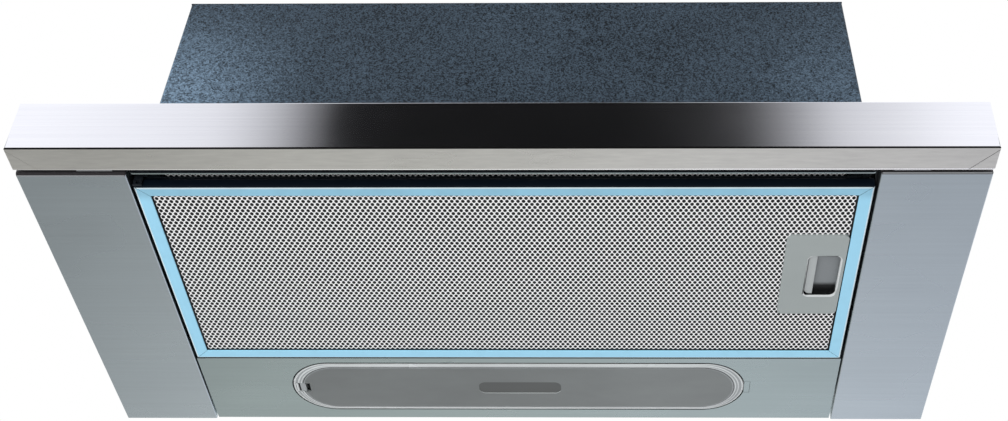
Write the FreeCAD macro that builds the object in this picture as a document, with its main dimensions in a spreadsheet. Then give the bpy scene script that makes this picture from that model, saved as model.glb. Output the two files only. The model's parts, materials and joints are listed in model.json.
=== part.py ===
# Built-in cooker hood for a 60 cm wall unit, with a drawer that slides out over the hob.
# X runs to the right, Y to the back and Z up. The front face is in front of the origin by
# half the depth, and the underside lies on the plane through the origin.
import FreeCAD, Part
import math
import os

import Sketcher

VEC = FreeCAD.Vector
TINY = 1e-6

# Driving sizes in millimetres, by piece. Angles are in degrees.
SIZES = {
    # whole hood, and the clearances and overrun that many pieces share
    "hood_wide": 598, "hood_deep": 299, "run_gap": 0.3, "fit_gap": 0.05, "overrun": 2,
    # folded front panel and the channel that stiffens it
    "panel_tall": 38.5, "panel_deep": 20, "panel_sheet": 0.9, "panel_bend": 1,
    "backing_sheet": 1.2, "backing_flange": 12,
    # side wings, trays that cover the unit's underside beside the filter
    "wing_front": 22.8, "wing_wide": 68, "wing_tall": 12, "wing_sheet": 0.8,
    # arms that carry panel and wings on the slides
    "arm_sheet": 1.2, "arm_top": 46, "arm_foot": 22, "arm_back_gap": 7, "arm_tab_top": 34,
    # roller slides
    "slide_wide": 11, "rail_low": 27, "rail_tall": 17, "rail_sheet": 1.2, "rail_reach": 8.5,
    "rail_in": 3, "inner_front": 23, "inner_back_gap": 9, "inner_reach": 7.3,
    "race_gap": 2.4, "roller_radius": 1.15, "roller_long": 3, "roller_out": 4.2, "cage_sheet": 0.6,
    "cage_reach": 7, "cage_back_in": 10, "cage_long": 120, "roller_inset": 12,
    # galvanised box
    "box_margin": 71.5, "box_front": 42, "box_back_gap": 1, "box_low": 25, "box_top": 178,
    "box_sheet": 1, "box_fold": 1.5, "lid_skirt": 10,
    # base frame under the box
    "base_low": 8.8, "base_top": 60, "base_sheet": 1, "base_hole_in": 14, "ear_sheet": 1.4,
    "ear_half": 2.8, "ear_low": 0.6, "keeper_sheet": 1.2, "keeper_drop": 5.3, "keeper_half": 8,
    "keeper_gap": 0.6,
    # drawer tray
    "tray_gap": 2, "tray_back_in": 7, "tray_low": 10.8, "tray_tall": 13.2, "tray_sheet": 1,
    "tray_ledge": 9, "lip_gap": 2.3, "lip_low": 0.5, "lip_top": 34, "lip_sheet": 1.1,
    "glide_wide": 7, "glide_long": 60,
    # grease filters
    "filter_gap": 2, "filter_front": 35, "filter_back_gap": 80, "filter_tall": 8,
    "filter_rim": 9.2, "channel_sheet": 0.8, "channel_deep": 5,
    "mesh_sheet": 0.5, "mesh_pitch_x": 60, "mesh_pitch_y": 30, "pin_in": 2.5, "pin_radius": 1.2,
    "tray_filter_gap": 1,
    # filter latch
    "latch_wide": 40, "latch_long": 83.5, "latch_off": 2.75, "latch_round": 4,
    "hole_in": 3, "hole_wide": 21, "hole_front_in": 21.5, "hole_long": 42, "hole_round": 2,
    "hole_deep": 4.6, "latch_skin": 1.5, "latch_travel": 5, "slider_wide": 5.5,
    "slider_in": 0.5, "bolt_half": 10, "bolt_tall": 1, "bolt_shell": 1.3,
    "spring_half": 2.4, "spring_sheet": 0.6, "spring_up": 4.4, "spring_room": 9,
    # lamp panel, its clear cover and the lamps
    "lamp_gap": 1, "lamp_back_gap": 0.5, "lamp_low": 1, "lamp_sheet": 1,
    "lens_left_in": 64, "lens_right_in": 67, "lens_setback": 36, "lens_wide": 59, "lens_tall": 3,
    "lens_pane": 1.5, "lens_rim": 5, "lens_gap": 1, "pad_half": 30, "pad_wide": 14.3,
    "pad_deep": 0.5, "bead_out": 2.5, "bead_radius": 1.2, "bead_long": 20, "tongue_wide": 12,
    "bead_ear_wide": 2.5, "bead_ear_half": 2.8,
    "catch_wide": 10, "catch_long": 7, "catch_in": 2, "catch_travel": 3, "catch_lap": 2,
    "catch_tall": 1.2, "reflector_in": 6, "reflector_wide": 56, "reflector_low": 5,
    "reflector_top": 48, "reflector_flange": 7, "reflector_sheet": 0.8,
    "lamp_axis": 26, "holder_half": 16.5, "holder_long": 30, "holder_seat": 8,
    "bulb_radius": 14, "bulb_long": 80,
    # blower, with its axis across the hood
    "fan_back_gap": 134, "fan_down": 66, "scroll_first": 54, "scroll_second": 60,
    "scroll_third": 70, "scroll_half": 62, "scroll_wall": 1.5, "tongue_out": 5,
    "inlet_radius": 41, "motor_hole": 28,
    "fan_half": 50, "fan_plate": 1.5, "fan_root": 38, "blade_run": 9, "blade_bend": 7,
    "blade_knee": 5, "blade_rise": 2, "blade_sheet": 1, "fan_rim": 1,
    "fan_ring": 2.5, "hub_radius": 9, "hub_long": 14,
    # motor
    "shaft_radius": 4, "shaft_seat": 22, "motor_radius": 38, "motor_long": 46,
    # electrical pieces
    "capacitor_wide": 30, "capacitor_deep": 24, "capacitor_tall": 48, "capacitor_in": 77.5,
    "capacitor_front_in": 50, "terminal_wide": 64, "terminal_deep": 46, "terminal_tall": 26,
    "terminal_in": 87.5, "terminal_front_in": 43, "terminal_wall": 1.6,
    "gland_radius": 11, "gland_tall": 9, "gland_neck": 7.9, "gland_bore": 4.5, "gland_down": 8,
    # outlet
    "collar_radius": 60, "collar_wall": 1.5, "collar_tall": 28, "collar_flange": 68,
    "collar_flange_sheet": 2, "stop_in": 3, "stop_sheet": 1.5, "stop_half": 4, "flap_axis_up": 8,
    "flap_gap": 0.6, "flap_sheet": 1.2, "flap_pin_radius": 1.3, "knuckle_radius": 2.6,
    "knuckle_in": 8.9, "knuckle_gap": 0.4, "knuckle_near": 1, "pin_seat": 1,
    # controls
    "control_in": 2.5, "control_wide": 72, "control_back": 40, "control_top": 37,
    "control_wall": 1.2, "knob_slot_wide": 5, "knob_wide": 8, "knob_deep": 10,
    "knob_tall": 3.7, "knob_foot_tall": 2.5, "speed_travel": 24,
    "light_travel": 8, "knob_end": 6, "knob_stem": 4,
    # drawer stops and the switch that the drawer works
    "stop_radius": 4, "stop_side_in": 34.5, "stop_up": 7, "stop_long": 6,
    "switch_wide": 20, "switch_tall": 9, "switch_deep": 6, "switch_in": 124.5,
    # screw heads and the slots for fixing the hood to its cabinet
    "screw_head": 4, "screw_head_tall": 1.6,
    "box_screw_up": 54, "box_screw_in": 28, "lid_screw_down": 5, "arm_screw_low": 12,
    "arm_screw_pitch": 14, "fixing_side_in": 37.5, "fixing_front_in": 38, "fixing_back_in": 28,
    "fixing_radius": 2.75, "fixing_slot": 8,
}
# Counts, which no length changes
BLADE_COUNT = 20
ROLLERS_A_ROW = 2
ROLLER_SIDES = 12
HEAD_SIDES = 6
SPRING_FOLDS = 4
# How much of a diamond's tile its opening takes
HOLE_SHARE = 0.78


class Size:
    """A number that also carries the sheet formula it is worked out by."""

    def __init__(self, value, formula):
        self.value = value
        self.formula = formula

    def __add__(self, other):
        other = as_size(other)
        if other.formula == "0":
            return self
        if self.formula == "0":
            return other
        return Size(self.value + other.value, "(%s + %s)" % (self.formula, other.formula))

    def __neg__(self):
        return self if self.formula == "0" else Size(-self.value, "(-%s)" % self.formula)

    def __sub__(self, other):
        return self + (-as_size(other))

    def __mul__(self, other):
        other = as_size(other)
        return Size(self.value * other.value, "(%s * %s)" % (self.formula, other.formula))

    def __truediv__(self, other):
        other = as_size(other)
        return Size(self.value / other.value, "(%s / %s)" % (self.formula, other.formula))

    __radd__ = __add__
    __rmul__ = __mul__


def as_size(number):
    """Return a Size for a plain number, or the Size itself."""
    return number if isinstance(number, Size) else Size(number, repr(number))


doc = FreeCAD.newDocument("CookerHood")
sheet = doc.addObject("Spreadsheet::Sheet", "Sizes")


class Named:
    """The sheet's sizes, read by name."""


s = Named()
for row, (alias, number) in enumerate(SIZES.items(), start=1):
    sheet.set("A%d" % row, alias)
    sheet.set("B%d" % row, str(number))
    sheet.setAlias("B%d" % row, alias)
    setattr(s, alias, Size(number, "Sizes." + alias))
doc.recompute()

pieces = []
planes = {}


def bind(thing, path, size):
    """Tie one property of a document object to a size."""
    size = as_size(size)
    if size.formula != "0":
        thing.setExpression(path, size.formula)


def finish(thing, name):
    """Give a sub-part its name and put it on the list of pieces."""
    thing.Label = name
    pieces.append(thing)
    return thing


# Part primitives and booleans

def block(x0, x1, y0, y1, z0, z1):
    box = doc.addObject("Part::Box", "Block")
    for prop, low, high in (("Length", x0, x1), ("Width", y0, y1), ("Height", z0, z1)):
        bind(box, prop, high - low)
    place(box, x0, y0, z0)
    return box


def place(thing, x, y, z):
    for path, size in (("Placement.Base.x", x), ("Placement.Base.y", y), ("Placement.Base.z", z)):
        bind(thing, path, size)


TURNS = {
    "X": FreeCAD.Rotation(VEC(0, 1, 0), 90),
    "Y": FreeCAD.Rotation(VEC(1, 0, 0), -90),
    "Z": FreeCAD.Rotation(),
}


def rod(axis, x, y, z, length, radius):
    """Make a round bar from the point x, y, z along an axis."""
    bar = doc.addObject("Part::Cylinder", "Rod")
    bar.Placement = FreeCAD.Placement(VEC(), TURNS[axis])
    bind(bar, "Radius", radius)
    bind(bar, "Height", length)
    place(bar, x, y, z)
    return bar


def fuse(*things):
    joined = doc.addObject("Part::MultiFuse", "Fused")
    joined.Shapes = list(things)
    return joined


def cut(base, *tools):
    result = doc.addObject("Part::Cut", "Cut")
    result.Base = base
    result.Tool = tools[0] if len(tools) == 1 else fuse(*tools)
    return result


def group(*things):
    """Keep separate solids together in one piece."""
    together = doc.addObject("Part::Compound", "Group")
    together.Links = list(things)
    return together


# Sketched bodies

def new_body(name):
    return doc.addObject("PartDesign::Body", name)


def straight(x, y):
    """A corner that a straight edge leaves."""
    return (as_size(x), as_size(y))


def bend(x, y, middle_x, middle_y):
    """A corner that an arc leaves, to the left round its middle."""
    return (as_size(x), as_size(y), as_size(middle_x), as_size(middle_y))


def oblong(x0, x1, y0, y1):
    return [straight(x0, y0), straight(x1, y0), straight(x1, y1), straight(x0, y1)]


def many_sided(x, y, radius, sides):
    """A regular outline with its first corner to the right."""
    step = math.pi * 2 / sides
    return [straight(x + radius * math.cos(step * n), y + radius * math.sin(step * n))
            for n in range(sides)]


def rounded(x0, x1, y0, y1, radius):
    return [
        straight(x0 + radius, y0), bend(x1 - radius, y0, x1 - radius, y0 + radius),
        straight(x1, y0 + radius), bend(x1, y1 - radius, x1 - radius, y1 - radius),
        straight(x1 - radius, y1), bend(x0 + radius, y1, x0 + radius, y1 - radius),
        straight(x0, y1 - radius), bend(x0, y0 + radius, x0 + radius, y0 + radius),
    ]


def stadium(x0, x1, middle, radius):
    return [
        straight(x0 + radius, middle - radius),
        bend(x1 - radius, middle - radius, x1 - radius, middle),
        straight(x1 - radius, middle + radius),
        bend(x0 + radius, middle + radius, x0 + radius, middle),
    ]


def set_point(sketch, edge, end, path, size):
    """Dimension one point of a sketch from the sketch's origin."""
    number = sketch.addConstraint(Sketcher.Constraint(path, -1, 1, edge, end, size.value))
    bind(sketch, "Constraints[%d]" % number, size)


def add_outline(sketch, corners):
    """Draw a closed outline with every corner dimensioned."""
    edges = []
    for this, following in zip(corners, corners[1:] + corners[:1]):
        start, stop = (VEC(p[0].value, p[1].value, 0) for p in (this, following))
        if len(this) == 2:
            edge = Part.LineSegment(start, stop)
        else:
            middle = VEC(this[2].value, this[3].value, 0)
            angles = [math.atan2(p.y - middle.y, p.x - middle.x) for p in (start, stop)]
            if angles[1] <= angles[0] + TINY:
                angles[1] += 2 * math.pi
            circle = Part.Circle(middle, VEC(0, 0, 1), (start - middle).Length)
            edge = Part.ArcOfCircle(circle, angles[0], angles[1])
        edges.append(sketch.addGeometry(edge, False))
    for edge, beyond in zip(edges, edges[1:] + edges[:1]):
        sketch.addConstraint(Sketcher.Constraint("Coincident", edge, 2, beyond, 1))
    for corner, following, edge in zip(corners, corners[1:] + corners[:1], edges):
        set_point(sketch, edge, 1, "DistanceX", corner[0])
        set_point(sketch, edge, 1, "DistanceY", corner[1])
        if len(corner) > 2:
            across = abs(following[0].value - corner[0].value)
            along = abs(following[1].value - corner[1].value)
            if along >= across:
                set_point(sketch, edge, 3, "DistanceX", corner[2])
            else:
                set_point(sketch, edge, 3, "DistanceY", corner[3])


def add_circle(sketch, x, y, radius):
    x, y, radius = as_size(x), as_size(y), as_size(radius)
    circle = Part.Circle(VEC(x.value, y.value, 0), VEC(0, 0, 1), radius.value)
    edge = sketch.addGeometry(circle, False)
    set_point(sketch, edge, 3, "DistanceX", x)
    set_point(sketch, edge, 3, "DistanceY", y)
    number = sketch.addConstraint(Sketcher.Constraint("Radius", edge, radius.value))
    bind(sketch, "Constraints[%d]" % number, radius)


def draw(body, plane, level, *outlines):
    """Sketch outlines, or circles as x, y, radius, on an origin plane moved to a level."""
    sketch = body.newObject("Sketcher::SketchObject", body.Name + "_sketch")
    support = [item for item in body.Origin.OriginFeatures if item.Role == plane + "_Plane"][0]
    sketch.AttachmentSupport = [(support, "")]
    sketch.MapMode = "FlatFace"
    level = as_size(level)
    bind(sketch, "AttachmentOffset.Base.z", -level if plane == "XZ" else level)
    for outline in outlines:
        if isinstance(outline, tuple):
            add_circle(sketch, *outline)
        else:
            add_outline(sketch, outline)
    planes[sketch.Name] = plane
    return sketch


def pad(body, sketch, length):
    """Raise a sketch along its axis."""
    feature = body.newObject("PartDesign::Pad", body.Name + "_pad")
    feature.Profile = sketch
    bind(feature, "Length", length)
    feature.Reversed = planes[sketch.Name] == "XZ"
    body.Tip = feature
    return feature


def pocket(body, sketch, depth):
    """Cut a sketch out along its axis."""
    feature = body.newObject("PartDesign::Pocket", body.Name + "_pocket")
    feature.Profile = sketch
    bind(feature, "Length", depth)
    feature.Reversed = planes[sketch.Name] != "XZ"
    body.Tip = feature
    return feature


def fillet(body, radius, wanted):
    """Round the edges of a body's last feature that the test wants."""
    base = body.Tip
    doc.recompute()
    names = ["Edge%d" % n for n, edge in enumerate(base.Shape.Edges, start=1) if wanted(edge)]
    feature = body.newObject("PartDesign::Fillet", body.Name + "_fillet")
    feature.Base = (base, names)
    bind(feature, "Radius", radius)
    body.Tip = feature
    return feature


def origin_axis(body, role):
    return [item for item in body.Origin.OriginFeatures if item.Role == role][0]


def turned(body, sketch):
    """Revolve a sketch round the X axis."""
    feature = body.newObject("PartDesign::Revolution", body.Name + "_turned")
    feature.Profile = sketch
    feature.ReferenceAxis = (origin_axis(body, "X_Axis"), [""])
    feature.Angle = 360
    body.Tip = feature
    return feature


front = -(s.hood_deep / 2)
rear = s.hood_deep / 2


def behind(distance):
    """The place that lies a distance behind the front face."""
    return front + distance


def ordered(side, inner, outer):
    """Two places across the hood on one side of its middle, left one first."""
    return (inner, outer) if side > 0 else (-outer, -inner)


SIDES = (("left", -1), ("right", 1))
# Places across the hood, each worked out from its outside
hood_half = s.hood_wide / 2
wing_inset = hood_half - s.wing_wide
filter_half = wing_inset - s.filter_gap
lamp_half = wing_inset - s.lamp_gap
lip_half = wing_inset - s.lip_gap
box_half = hood_half - s.box_margin
base_half = box_half - s.box_sheet
tray_half = base_half - s.tray_gap
arm_plane = box_half + s.slide_wide
# Places from the front to the back
box_front, box_back = behind(s.box_front), rear - s.box_back_gap
filter_front, filter_back = behind(s.filter_front), rear - s.filter_back_gap
tray_back = filter_back - s.tray_back_in
lamp_front = filter_back + s.filter_gap
fan_y = rear - s.fan_back_gap
fan_z = s.box_top - s.fan_down


# Front panel and its stiffening channel

def front_panel():
    body = new_body("front_panel")
    pad(body, draw(body, "XZ", front, oblong(-hood_half, hood_half, 0, s.panel_tall)), s.panel_deep)
    inside = hood_half - s.panel_sheet
    hollow = oblong(-inside, inside, s.panel_sheet, s.panel_tall - s.panel_sheet)
    pocket(body, draw(body, "XZ", front + s.panel_sheet, hollow), s.panel_deep)
    fillet(body, s.panel_bend, lambda edge: edge.BoundBox.YMax < front.value + TINY)
    return finish(body, "front_panel")


def panel_backing():
    body = new_body("panel_backing")
    low = s.panel_sheet
    high = s.panel_tall - s.panel_sheet
    back = behind(s.panel_deep)
    web = back - s.backing_sheet
    tip = back - s.backing_flange
    profile = [
        straight(tip, low), straight(back, low), straight(back, high), straight(tip, high),
        straight(tip, high - s.backing_sheet), straight(web, high - s.backing_sheet),
        straight(web, low + s.backing_sheet), straight(tip, low + s.backing_sheet),
    ]
    half = hood_half - s.panel_sheet
    pad(body, draw(body, "YZ", -half, profile), half * 2)
    return finish(body, "panel_backing")


# Wings, arms and roller slides

def wing(name, side):
    body = new_body("wing_" + name)
    left, right = ordered(side, wing_inset, hood_half)
    low = behind(s.wing_front)
    high = rear
    pad(body, draw(body, "XY", 0, oblong(left, right, low, high)), s.wing_tall)
    skin = s.wing_sheet
    hollow = oblong(left + skin, right - skin, low + skin, high - skin)
    pocket(body, draw(body, "XY", skin, hollow), s.wing_tall)
    return finish(body, "wing_" + name)


def side_arm(name, side):
    body = new_body("side_arm_" + name)
    foot = arm_plane + s.arm_foot
    low = s.wing_sheet
    web = arm_plane + s.arm_sheet
    profile = [
        straight(arm_plane * side, low), straight(foot * side, low),
        straight(foot * side, low + s.arm_sheet), straight(web * side, low + s.arm_sheet),
        straight(web * side, s.arm_top), straight(arm_plane * side, s.arm_top),
    ]
    start = behind(s.wing_front) + s.wing_sheet
    pad(body, draw(body, "XZ", start, profile), rear - s.arm_back_gap - start)
    left, right = ordered(side, arm_plane, web)
    neck = oblong(left, right, s.wing_tall, s.arm_top)
    tab_back = behind(s.panel_deep)
    pad(body, draw(body, "XZ", tab_back, neck), start - tab_back)
    left, right = ordered(side, arm_plane, foot)
    tab = oblong(left, right, low, s.arm_tab_top)
    pad(body, draw(body, "XZ", tab_back, tab), s.arm_sheet)
    middle = (arm_plane + s.arm_foot / 2) * side
    for height in (s.arm_screw_low, s.arm_screw_low + s.arm_screw_pitch):
        head = many_sided(middle, height, s.screw_head, HEAD_SIDES)
        pad(body, draw(body, "XZ", tab_back + s.arm_sheet, head), s.screw_head_tall)
    return finish(body, "side_arm_" + name)


rail_top = s.rail_low + s.rail_tall
race_low = s.rail_low + s.rail_sheet
race_high = rail_top - s.rail_sheet


def channel(side, web, inner_web, tip, low, high, sheet_metal):
    """The C section of a rail, with its web at one place and its flange tips at another."""
    return [
        straight(web * side, low), straight(tip * side, low),
        straight(tip * side, low + sheet_metal), straight(inner_web * side, low + sheet_metal),
        straight(inner_web * side, high - sheet_metal), straight(tip * side, high - sheet_metal),
        straight(tip * side, high), straight(web * side, high),
    ]


def outer_rail(name, side):
    body = new_body("outer_rail_" + name)
    tip = box_half + s.rail_reach
    section = channel(side, box_half, box_half + s.rail_sheet, tip, s.rail_low, rail_top, s.rail_sheet)
    start = box_front + s.rail_in
    pad(body, draw(body, "XZ", start, section), box_back - s.rail_in - start)
    return finish(body, "outer_rail_" + name)


def inner_rail(name, side):
    body = new_body("inner_rail_" + name)
    tip = arm_plane - s.inner_reach
    low = race_low + s.race_gap
    high = race_high - s.race_gap
    section = channel(side, arm_plane, arm_plane - s.rail_sheet, tip, low, high, s.rail_sheet)
    start = behind(s.inner_front)
    pad(body, draw(body, "XZ", start, section), rear - s.inner_back_gap - start)
    return finish(body, "inner_rail_" + name)


cage_front = box_back - s.rail_in - s.cage_back_in - s.cage_long


def roller_places():
    """Where every roller of the two slides starts, two rows a side."""
    rows = (race_low + s.race_gap / 2, race_high - s.race_gap / 2)
    start = cage_front + s.roller_inset
    pitch = (s.cage_long - s.roller_inset * 2) / (ROLLERS_A_ROW - 1)
    near, far = box_half + s.roller_out, box_half + s.roller_out + s.roller_long
    return [
        (side, ordered(side, near, far), start + pitch * number, z)
        for name, side in SIDES for z in rows for number in range(ROLLERS_A_ROW)
    ]


def roller_cages():
    cages = []
    for name, side in SIDES:
        web = box_half + s.rail_sheet + s.run_gap
        low = race_low + (s.race_gap - s.cage_sheet) / 2
        high = race_high - (s.race_gap - s.cage_sheet) / 2
        body = new_body("roller_cage_" + name)
        section = channel(side, web, web + s.cage_sheet, web + s.cage_reach, low, high, s.cage_sheet)
        pad(body, draw(body, "XZ", cage_front, section), s.cage_long)
        half = s.roller_radius + s.fit_gap
        windows = [oblong(x[0] - s.fit_gap, x[1] + s.fit_gap, y - half, y + half)
                   for way, x, y, z in roller_places()
                   if way == side and z.value < race_low.value + s.race_gap.value]
        pocket(body, draw(body, "XY", low - s.overrun, *windows), high - low + s.overrun * 2)
        cages.append(body)
    return finish(group(*cages), "roller_cages")


def slide_rollers():
    """The slides' small rollers, each drawn with a few flat sides."""
    rollers = []
    for way, x, y, z in roller_places():
        body = new_body("slide_roller")
        section = many_sided(y, z, s.roller_radius, ROLLER_SIDES)
        pad(body, draw(body, "YZ", x[0], section), s.roller_long)
        rollers.append(body)
    return finish(group(*rollers), "slide_rollers")


# Galvanised box, base frame and lamp panel

def housing_shell():
    body = new_body("housing_shell")
    low, high = box_front, box_back
    tall = s.box_top - s.box_sheet - s.box_low
    outside = rounded(-box_half, box_half, low, high, s.box_fold)
    pad(body, draw(body, "XY", s.box_low, outside), tall)
    skin = s.box_sheet
    inside = oblong(-box_half + skin, box_half - skin, low + skin, high - skin)
    pocket(body, draw(body, "XY", s.box_low - s.overrun, inside), tall + s.overrun * 2)
    heads = [many_sided(y, z, s.screw_head, HEAD_SIDES)
             for y in (low + s.box_screw_in, high - s.box_screw_in)
             for z in (s.box_screw_up, lid_low - s.lid_screw_down)]
    for start in (-box_half - s.screw_head_tall, box_half):
        pad(body, draw(body, "YZ", start, *heads), s.screw_head_tall)
    return finish(body, "housing_shell")


lid_low = s.box_top - s.box_sheet
terminal_x = -(box_half - s.terminal_in)
terminal_y = box_front + s.terminal_front_in
outlet_front = fan_y + s.tongue_out + s.scroll_wall
scroll_back = fan_y + (s.scroll_second - s.scroll_first) + s.scroll_third
outlet_back = scroll_back - s.scroll_wall
outlet_middle = (outlet_front + outlet_back) / 2


def housing_top():
    body = new_body("housing_top")
    low, high = box_front, box_back
    pad(body, draw(body, "XY", lid_low, oblong(-box_half, box_half, low, high)), s.box_sheet)
    skin = s.box_sheet
    skirt = oblong(-box_half + skin, box_half - skin, low + skin, high - skin)
    pad(body, draw(body, "XY", lid_low - s.lid_skirt, skirt), s.lid_skirt)
    inside = oblong(-box_half + skin * 2, box_half - skin * 2, low + skin * 2, high - skin * 2)
    pocket(body, draw(body, "XY", lid_low - s.lid_skirt - s.overrun, inside), s.lid_skirt + s.overrun)
    half = s.scroll_half - s.scroll_wall
    outlet = oblong(-half, half, outlet_front, outlet_back)
    gland = (terminal_x, terminal_y, s.gland_neck + s.fit_gap)
    slots = [fixing_slot(side, y) for name, side in SIDES
             for y in (low + s.fixing_front_in, high - s.fixing_back_in)]
    holes = draw(body, "XY", lid_low - s.overrun, outlet, gland, *slots)
    pocket(body, holes, s.box_sheet + s.overrun * 2)
    return finish(body, "housing_top")


def fixing_slot(side, y):
    """One slot for a screw that fixes the hood to its cabinet, long across the hood."""
    x = (box_half - s.fixing_side_in) * side
    half = s.fixing_slot / 2 + s.fixing_radius
    return stadium(x - half, x + half, y, s.fixing_radius)


pin_x = -filter_half + s.pin_in
ear_front = filter_front - s.run_gap - s.ear_sheet
ear_back = filter_back + s.run_gap
base_floor = s.base_low + s.base_sheet
lens_y = lamp_front + s.lens_setback
lens_left = -(lamp_half - s.lens_left_in)
lens_right = lamp_half - s.lens_right_in
reflector_left = lens_left + s.reflector_in
reflector_right = lens_right - s.reflector_in
reflector_front = lens_y - s.reflector_wide / 2
reflector_back = lens_y + s.reflector_wide / 2
keeper_left = filter_half - s.channel_deep
latch_front = (filter_front + filter_back - s.latch_long) / 2 - s.latch_off
hole_front = latch_front + s.hole_front_in
hole_back = hole_front + s.hole_long
latch_middle = (hole_front + hole_back) / 2


def base_frame():
    body = new_body("base_frame")
    back = box_back - s.box_sheet
    outside = oblong(-base_half, base_half, ear_front, back)
    pad(body, draw(body, "XY", s.base_low, outside), s.base_top - s.base_low)
    skin = s.base_sheet
    inside = oblong(-base_half + skin, base_half - skin, ear_front - s.overrun, back - skin)
    pocket(body, draw(body, "XY", base_floor, inside), s.base_top)
    under_front = oblong(-base_half, base_half, ear_front, box_front + s.box_sheet)
    pocket(body, draw(body, "XY", s.box_low - s.run_gap, under_front), s.base_top)
    edge = s.base_hole_in
    filter_hole = oblong(-filter_half + edge, filter_half - edge, filter_front + edge,
                         filter_back - edge)
    gap = s.run_gap
    lamp_hole = oblong(reflector_left - gap, reflector_right + gap, reflector_front - gap,
                       reflector_back + gap)
    pocket(body, draw(body, "XY", s.base_low - s.overrun, filter_hole, lamp_hole),
           skin + s.overrun * 2)
    for start in (ear_front, ear_back):
        ear = oblong(pin_x - s.ear_half, pin_x + s.ear_half, s.ear_low, s.base_low)
        pad(body, draw(body, "XZ", start, ear), s.ear_sheet)
        bore = (pin_x, s.pin_in, s.pin_radius + s.fit_gap * 2)
        pocket(body, draw(body, "XZ", start - s.overrun, bore), s.ear_sheet + s.overrun * 2)
    return finish(body, "base_frame")


def bolt_keeper():
    """The tab under the base frame that the filter's bolt runs up to."""
    tab = block(keeper_left, keeper_left + s.keeper_sheet, latch_middle - s.keeper_half,
                latch_middle + s.keeper_half, s.base_low - s.keeper_drop, s.base_low)
    return finish(tab, "bolt_keeper")


bead_x = lens_right + s.bead_out
lamp_floor = s.lamp_low + s.lamp_sheet
bead_up = lamp_floor + s.run_gap + s.bead_radius


def lamp_panel():
    body = new_body("lamp_panel")
    low, high = lamp_front, rear - s.lamp_back_gap
    outside = oblong(-lamp_half, lamp_half, low, high)
    pad(body, draw(body, "XY", s.lamp_low, outside), s.base_low - s.lamp_low)
    skin = s.lamp_sheet
    inside = oblong(-lamp_half + skin, lamp_half - skin, low + skin, high - skin)
    pocket(body, draw(body, "XY", lamp_floor, inside), s.base_low)
    gap = s.lens_gap
    opening = stadium(lens_left - gap, lens_right + gap, lens_y, s.lens_wide / 2 + gap)
    pocket(body, draw(body, "XY", s.lamp_low - s.overrun, opening), skin + s.overrun * 2)
    half = s.tongue_wide / 2 + gap
    notch = oblong(lens_right - s.lens_rim, bead_x + s.bead_radius + gap, lens_y - half,
                   lens_y + half)
    pocket(body, draw(body, "XY", s.lamp_low - s.overrun, notch), skin + s.overrun * 2)
    for side in (-1, 1):
        near, far = ordered(side, half + s.run_gap, half + s.run_gap + s.bead_ear_wide)
        ear = oblong(bead_x - s.bead_ear_half, bead_x + s.bead_ear_half, lens_y + near, lens_y + far)
        pad(body, draw(body, "XY", lamp_floor, ear), bead_up + s.bead_ear_half - lamp_floor)
    bore = (bead_x, bead_up, s.bead_radius + s.fit_gap * 2)
    reach = s.bead_long / 2 + s.overrun
    pocket(body, draw(body, "XZ", lens_y - reach, bore), reach * 2)
    return finish(body, "lamp_panel")


def lamp_lens():
    body = new_body("lamp_lens")
    outside = stadium(lens_left, lens_right, lens_y, s.lens_wide / 2)
    pad(body, draw(body, "XY", 0, outside), s.lens_tall)
    rim = s.lens_rim
    inside = stadium(lens_left + rim, lens_right - rim, lens_y, s.lens_wide / 2 - rim)
    pocket(body, draw(body, "XY", s.lens_pane, inside), s.lens_tall)
    plain = oblong(-s.pad_half, s.pad_half, lens_y - s.pad_wide / 2, lens_y + s.pad_wide / 2)
    pocket(body, draw(body, "XY", -s.overrun, plain), s.overrun + s.pad_deep)
    tongue = oblong(lens_right - rim, bead_x, lens_y - s.tongue_wide / 2,
                    lens_y + s.tongue_wide / 2)
    pad(body, draw(body, "XY", bead_up - s.bead_radius, tongue), s.bead_radius)
    bead = (bead_x, bead_up, s.bead_radius)
    pad(body, draw(body, "XZ", lens_y - s.bead_long / 2, bead), s.bead_long)
    left = catch_left - s.run_gap
    half = s.catch_wide / 2 + s.run_gap
    slot = oblong(left, catch_left + s.catch_long + s.catch_travel + s.run_gap, lens_y - half,
                  lens_y + half)
    pocket(body, draw(body, "XY", -s.overrun, slot), s.lens_tall + s.overrun * 2)
    return finish(body, "lamp_lens")


catch_left = lens_left + s.catch_in


def lens_catch():
    half = s.catch_wide / 2
    top = s.lens_tall + s.run_gap
    right = catch_left + s.catch_long
    stem = block(catch_left, right, lens_y - half, lens_y + half, s.run_gap, top)
    half = half + s.catch_lap
    nose = lens_left - s.lens_gap + s.run_gap
    plate = block(nose, right, lens_y - half, lens_y + half, top, top + s.catch_tall)
    return finish(fuse(stem, plate), "lens_catch")


def lamp_box():
    body = new_body("lamp_box")
    edge = s.reflector_flange
    flange = oblong(reflector_left - edge, reflector_right + edge, reflector_front - edge,
                    reflector_back + edge)
    pad(body, draw(body, "XY", base_floor, flange), s.reflector_sheet)
    outside = oblong(reflector_left, reflector_right, reflector_front, reflector_back)
    pad(body, draw(body, "XY", s.reflector_low, outside), s.reflector_top - s.reflector_low)
    skin = s.reflector_sheet
    inside = oblong(reflector_left + skin, reflector_right - skin, reflector_front + skin,
                    reflector_back - skin)
    low = s.reflector_low - s.overrun
    pocket(body, draw(body, "XY", low, inside), s.reflector_top - skin - low)
    return finish(body, "lamp_box")


def lamp_wall(side):
    """How far the reflector's end wall lies from the hood's middle on one side."""
    return (reflector_right if side > 0 else -reflector_left) - s.reflector_sheet


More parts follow.
